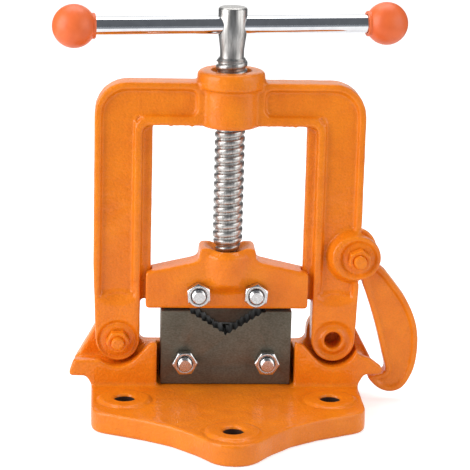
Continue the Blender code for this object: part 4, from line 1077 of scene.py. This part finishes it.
# %% Neck, head and foot
HEAD_TOP, BAR_HEIGHT = 239.1, 228.6
HEAD_RADIUS, NECK_RADIUS, BAR_RADIUS = 8.4, 7.0, 5.4
BAR_TURN, BAR_PLAY = radians(8), 0.3
JOURNAL_RADIUS, GROOVE_RADIUS, FOOT_RADIUS = 6.8, 4.6, 5.6
neck = turn([(0, 207.5), (7.1, 207.5), (7.05, 209), (NECK_RADIUS, 212), (NECK_RADIUS + 0.1, 214.5),
             (NECK_RADIUS + 0.6, 218.5), (HEAD_RADIUS - 0.25, 222.5), (HEAD_RADIUS, 225.5),
             (HEAD_RADIUS, HEAD_TOP - 1.3), (HEAD_RADIUS - 0.4, HEAD_TOP - 0.5),
             (HEAD_RADIUS - 1.3, HEAD_TOP - 0.02), (0, HEAD_TOP)], 72)
journal = turn([(0, 82.4), (6.0, 82.4), (JOURNAL_RADIUS, 83.2), (JOURNAL_RADIUS, 86.2), (GROOVE_RADIUS, 86.2),
                (GROOVE_RADIUS, 90.8), (FOOT_RADIUS, 90.8), (FOOT_RADIUS, 97), (0, 97)], 48)
bored = piece_from("screw_neck", neck)
hole = plain_rod("cross_hole", (BAR_RADIUS + BAR_PLAY) * MM, -0.012, 0.012)
bar_frame = (Matrix.Translation((0, 0, BAR_HEIGHT * MM)) @ Matrix.Rotation(BAR_TURN, 4, 'Z')
             @ Matrix.Rotation(pi / 2, 4, 'Y'))
hole.data.transform(bar_frame)
bore_out(bored, hole)
whole = bmesh.new()
whole.from_mesh(bored.data)
add_shape(whole, screw_thread)
add_shape(whole, journal)
bpy.data.objects.remove(bored)
screw = piece_from("rolled_screw", whole)
screw.data.set_sharp_from_angle(angle=radians(40))
dress(screw, "lead_screw", turned_steel, "screw")

# %% [markdown]
# ## The sliding bar and its balls
# The bar slides through the head until a ball stops it. Both are turned shapes. The
# ball has a short neck with a flat end, and that flat is what meets the head. A ring
# near each end of the bar keeps its long faces straight in the mirror.

# %% Bar
BAR_REACH, BAR_CHAMFER = 92.3, 0.8
BALL_NECK, SOCKET_DEPTH = 12.0, 8.0
bar_half = BAR_REACH - BALL_NECK + SOCKET_DEPTH - BAR_PLAY
bar_end = [(BAR_RADIUS, bar_half - 2), (BAR_RADIUS, bar_half - BAR_CHAMFER),
           (BAR_RADIUS - BAR_CHAMFER, bar_half), (0, bar_half)]
other_end = [(radius, -height) for radius, height in reversed(bar_end)]
bar = finish_sharp("chromed_bar", turn(other_end + bar_end, 72))
bar.data.transform(bar_frame)
dress(bar, "handle_bar", chrome, "handle")

# %% Balls
BALL_RADIUS = 12.6
BALL_ARC, BALL_STEPS = 143.8, 40


def make_ball(name, side):
    """A ball with a flat-ended neck and a socket for the bar."""
    angles = [radians(step * BALL_ARC / BALL_STEPS) for step in range(BALL_STEPS + 1)]
    round_rows = [(BALL_RADIUS * sin(angle), BALL_RADIUS * cos(angle)) for angle in angles]
    socket = BAR_RADIUS + BAR_PLAY
    neck_rows = [(7.5, -11.6), (7.2, -BALL_NECK), (socket, -BALL_NECK), (socket, SOCKET_DEPTH - BALL_NECK),
                 (0, SOCKET_DEPTH - BALL_NECK)]
    shape = turn(round_rows + neck_rows, 96)
    if side < 0:
        bmesh.ops.rotate(shape, verts=shape.verts, cent=(0, 0, 0), matrix=Matrix.Rotation(pi, 3, 'X'))
    bmesh.ops.translate(shape, verts=shape.verts, vec=(0, 0, side * BAR_REACH * MM))
    bmesh.ops.transform(shape, matrix=bar_frame, verts=shape.verts)
    piece = piece_from(name, shape)
    piece.data.set_sharp_from_angle(angle=radians(50))
    return piece


for side, word in ((-1, "left"), (1, "right")):
    dress(make_ball("orange_ball_" + word, side), "ball_knob_" + word, ball_plastic, "handle")

# %% [markdown]
# ## The retaining pins
# Two round pins lie across the groove in the screw's foot, so the screw can turn in
# the crosshead but has to lift it. They are plain rods with chamfered ends, and a
# turned profile gives the rod and both chamfers at once.

# %% Retaining pins
PIN_RADIUS, PIN_CHAMFER = 2, 0.3
for word in ("left", "right"):
    node = "screw_retaining_pin_" + word
    centre, front, length = place_of(node)
    end = PIN_RADIUS - PIN_CHAMFER
    pin = turn([(0, 0), (end, 0), (PIN_RADIUS, PIN_CHAMFER), (PIN_RADIUS, length - PIN_CHAMFER),
                (end, length), (0, length)], 40)
    pin = finish_sharp("retaining_pin_" + word, to_front(pin, centre, front), 0.1)
    dress(pin, node, zinc, "crosshead")
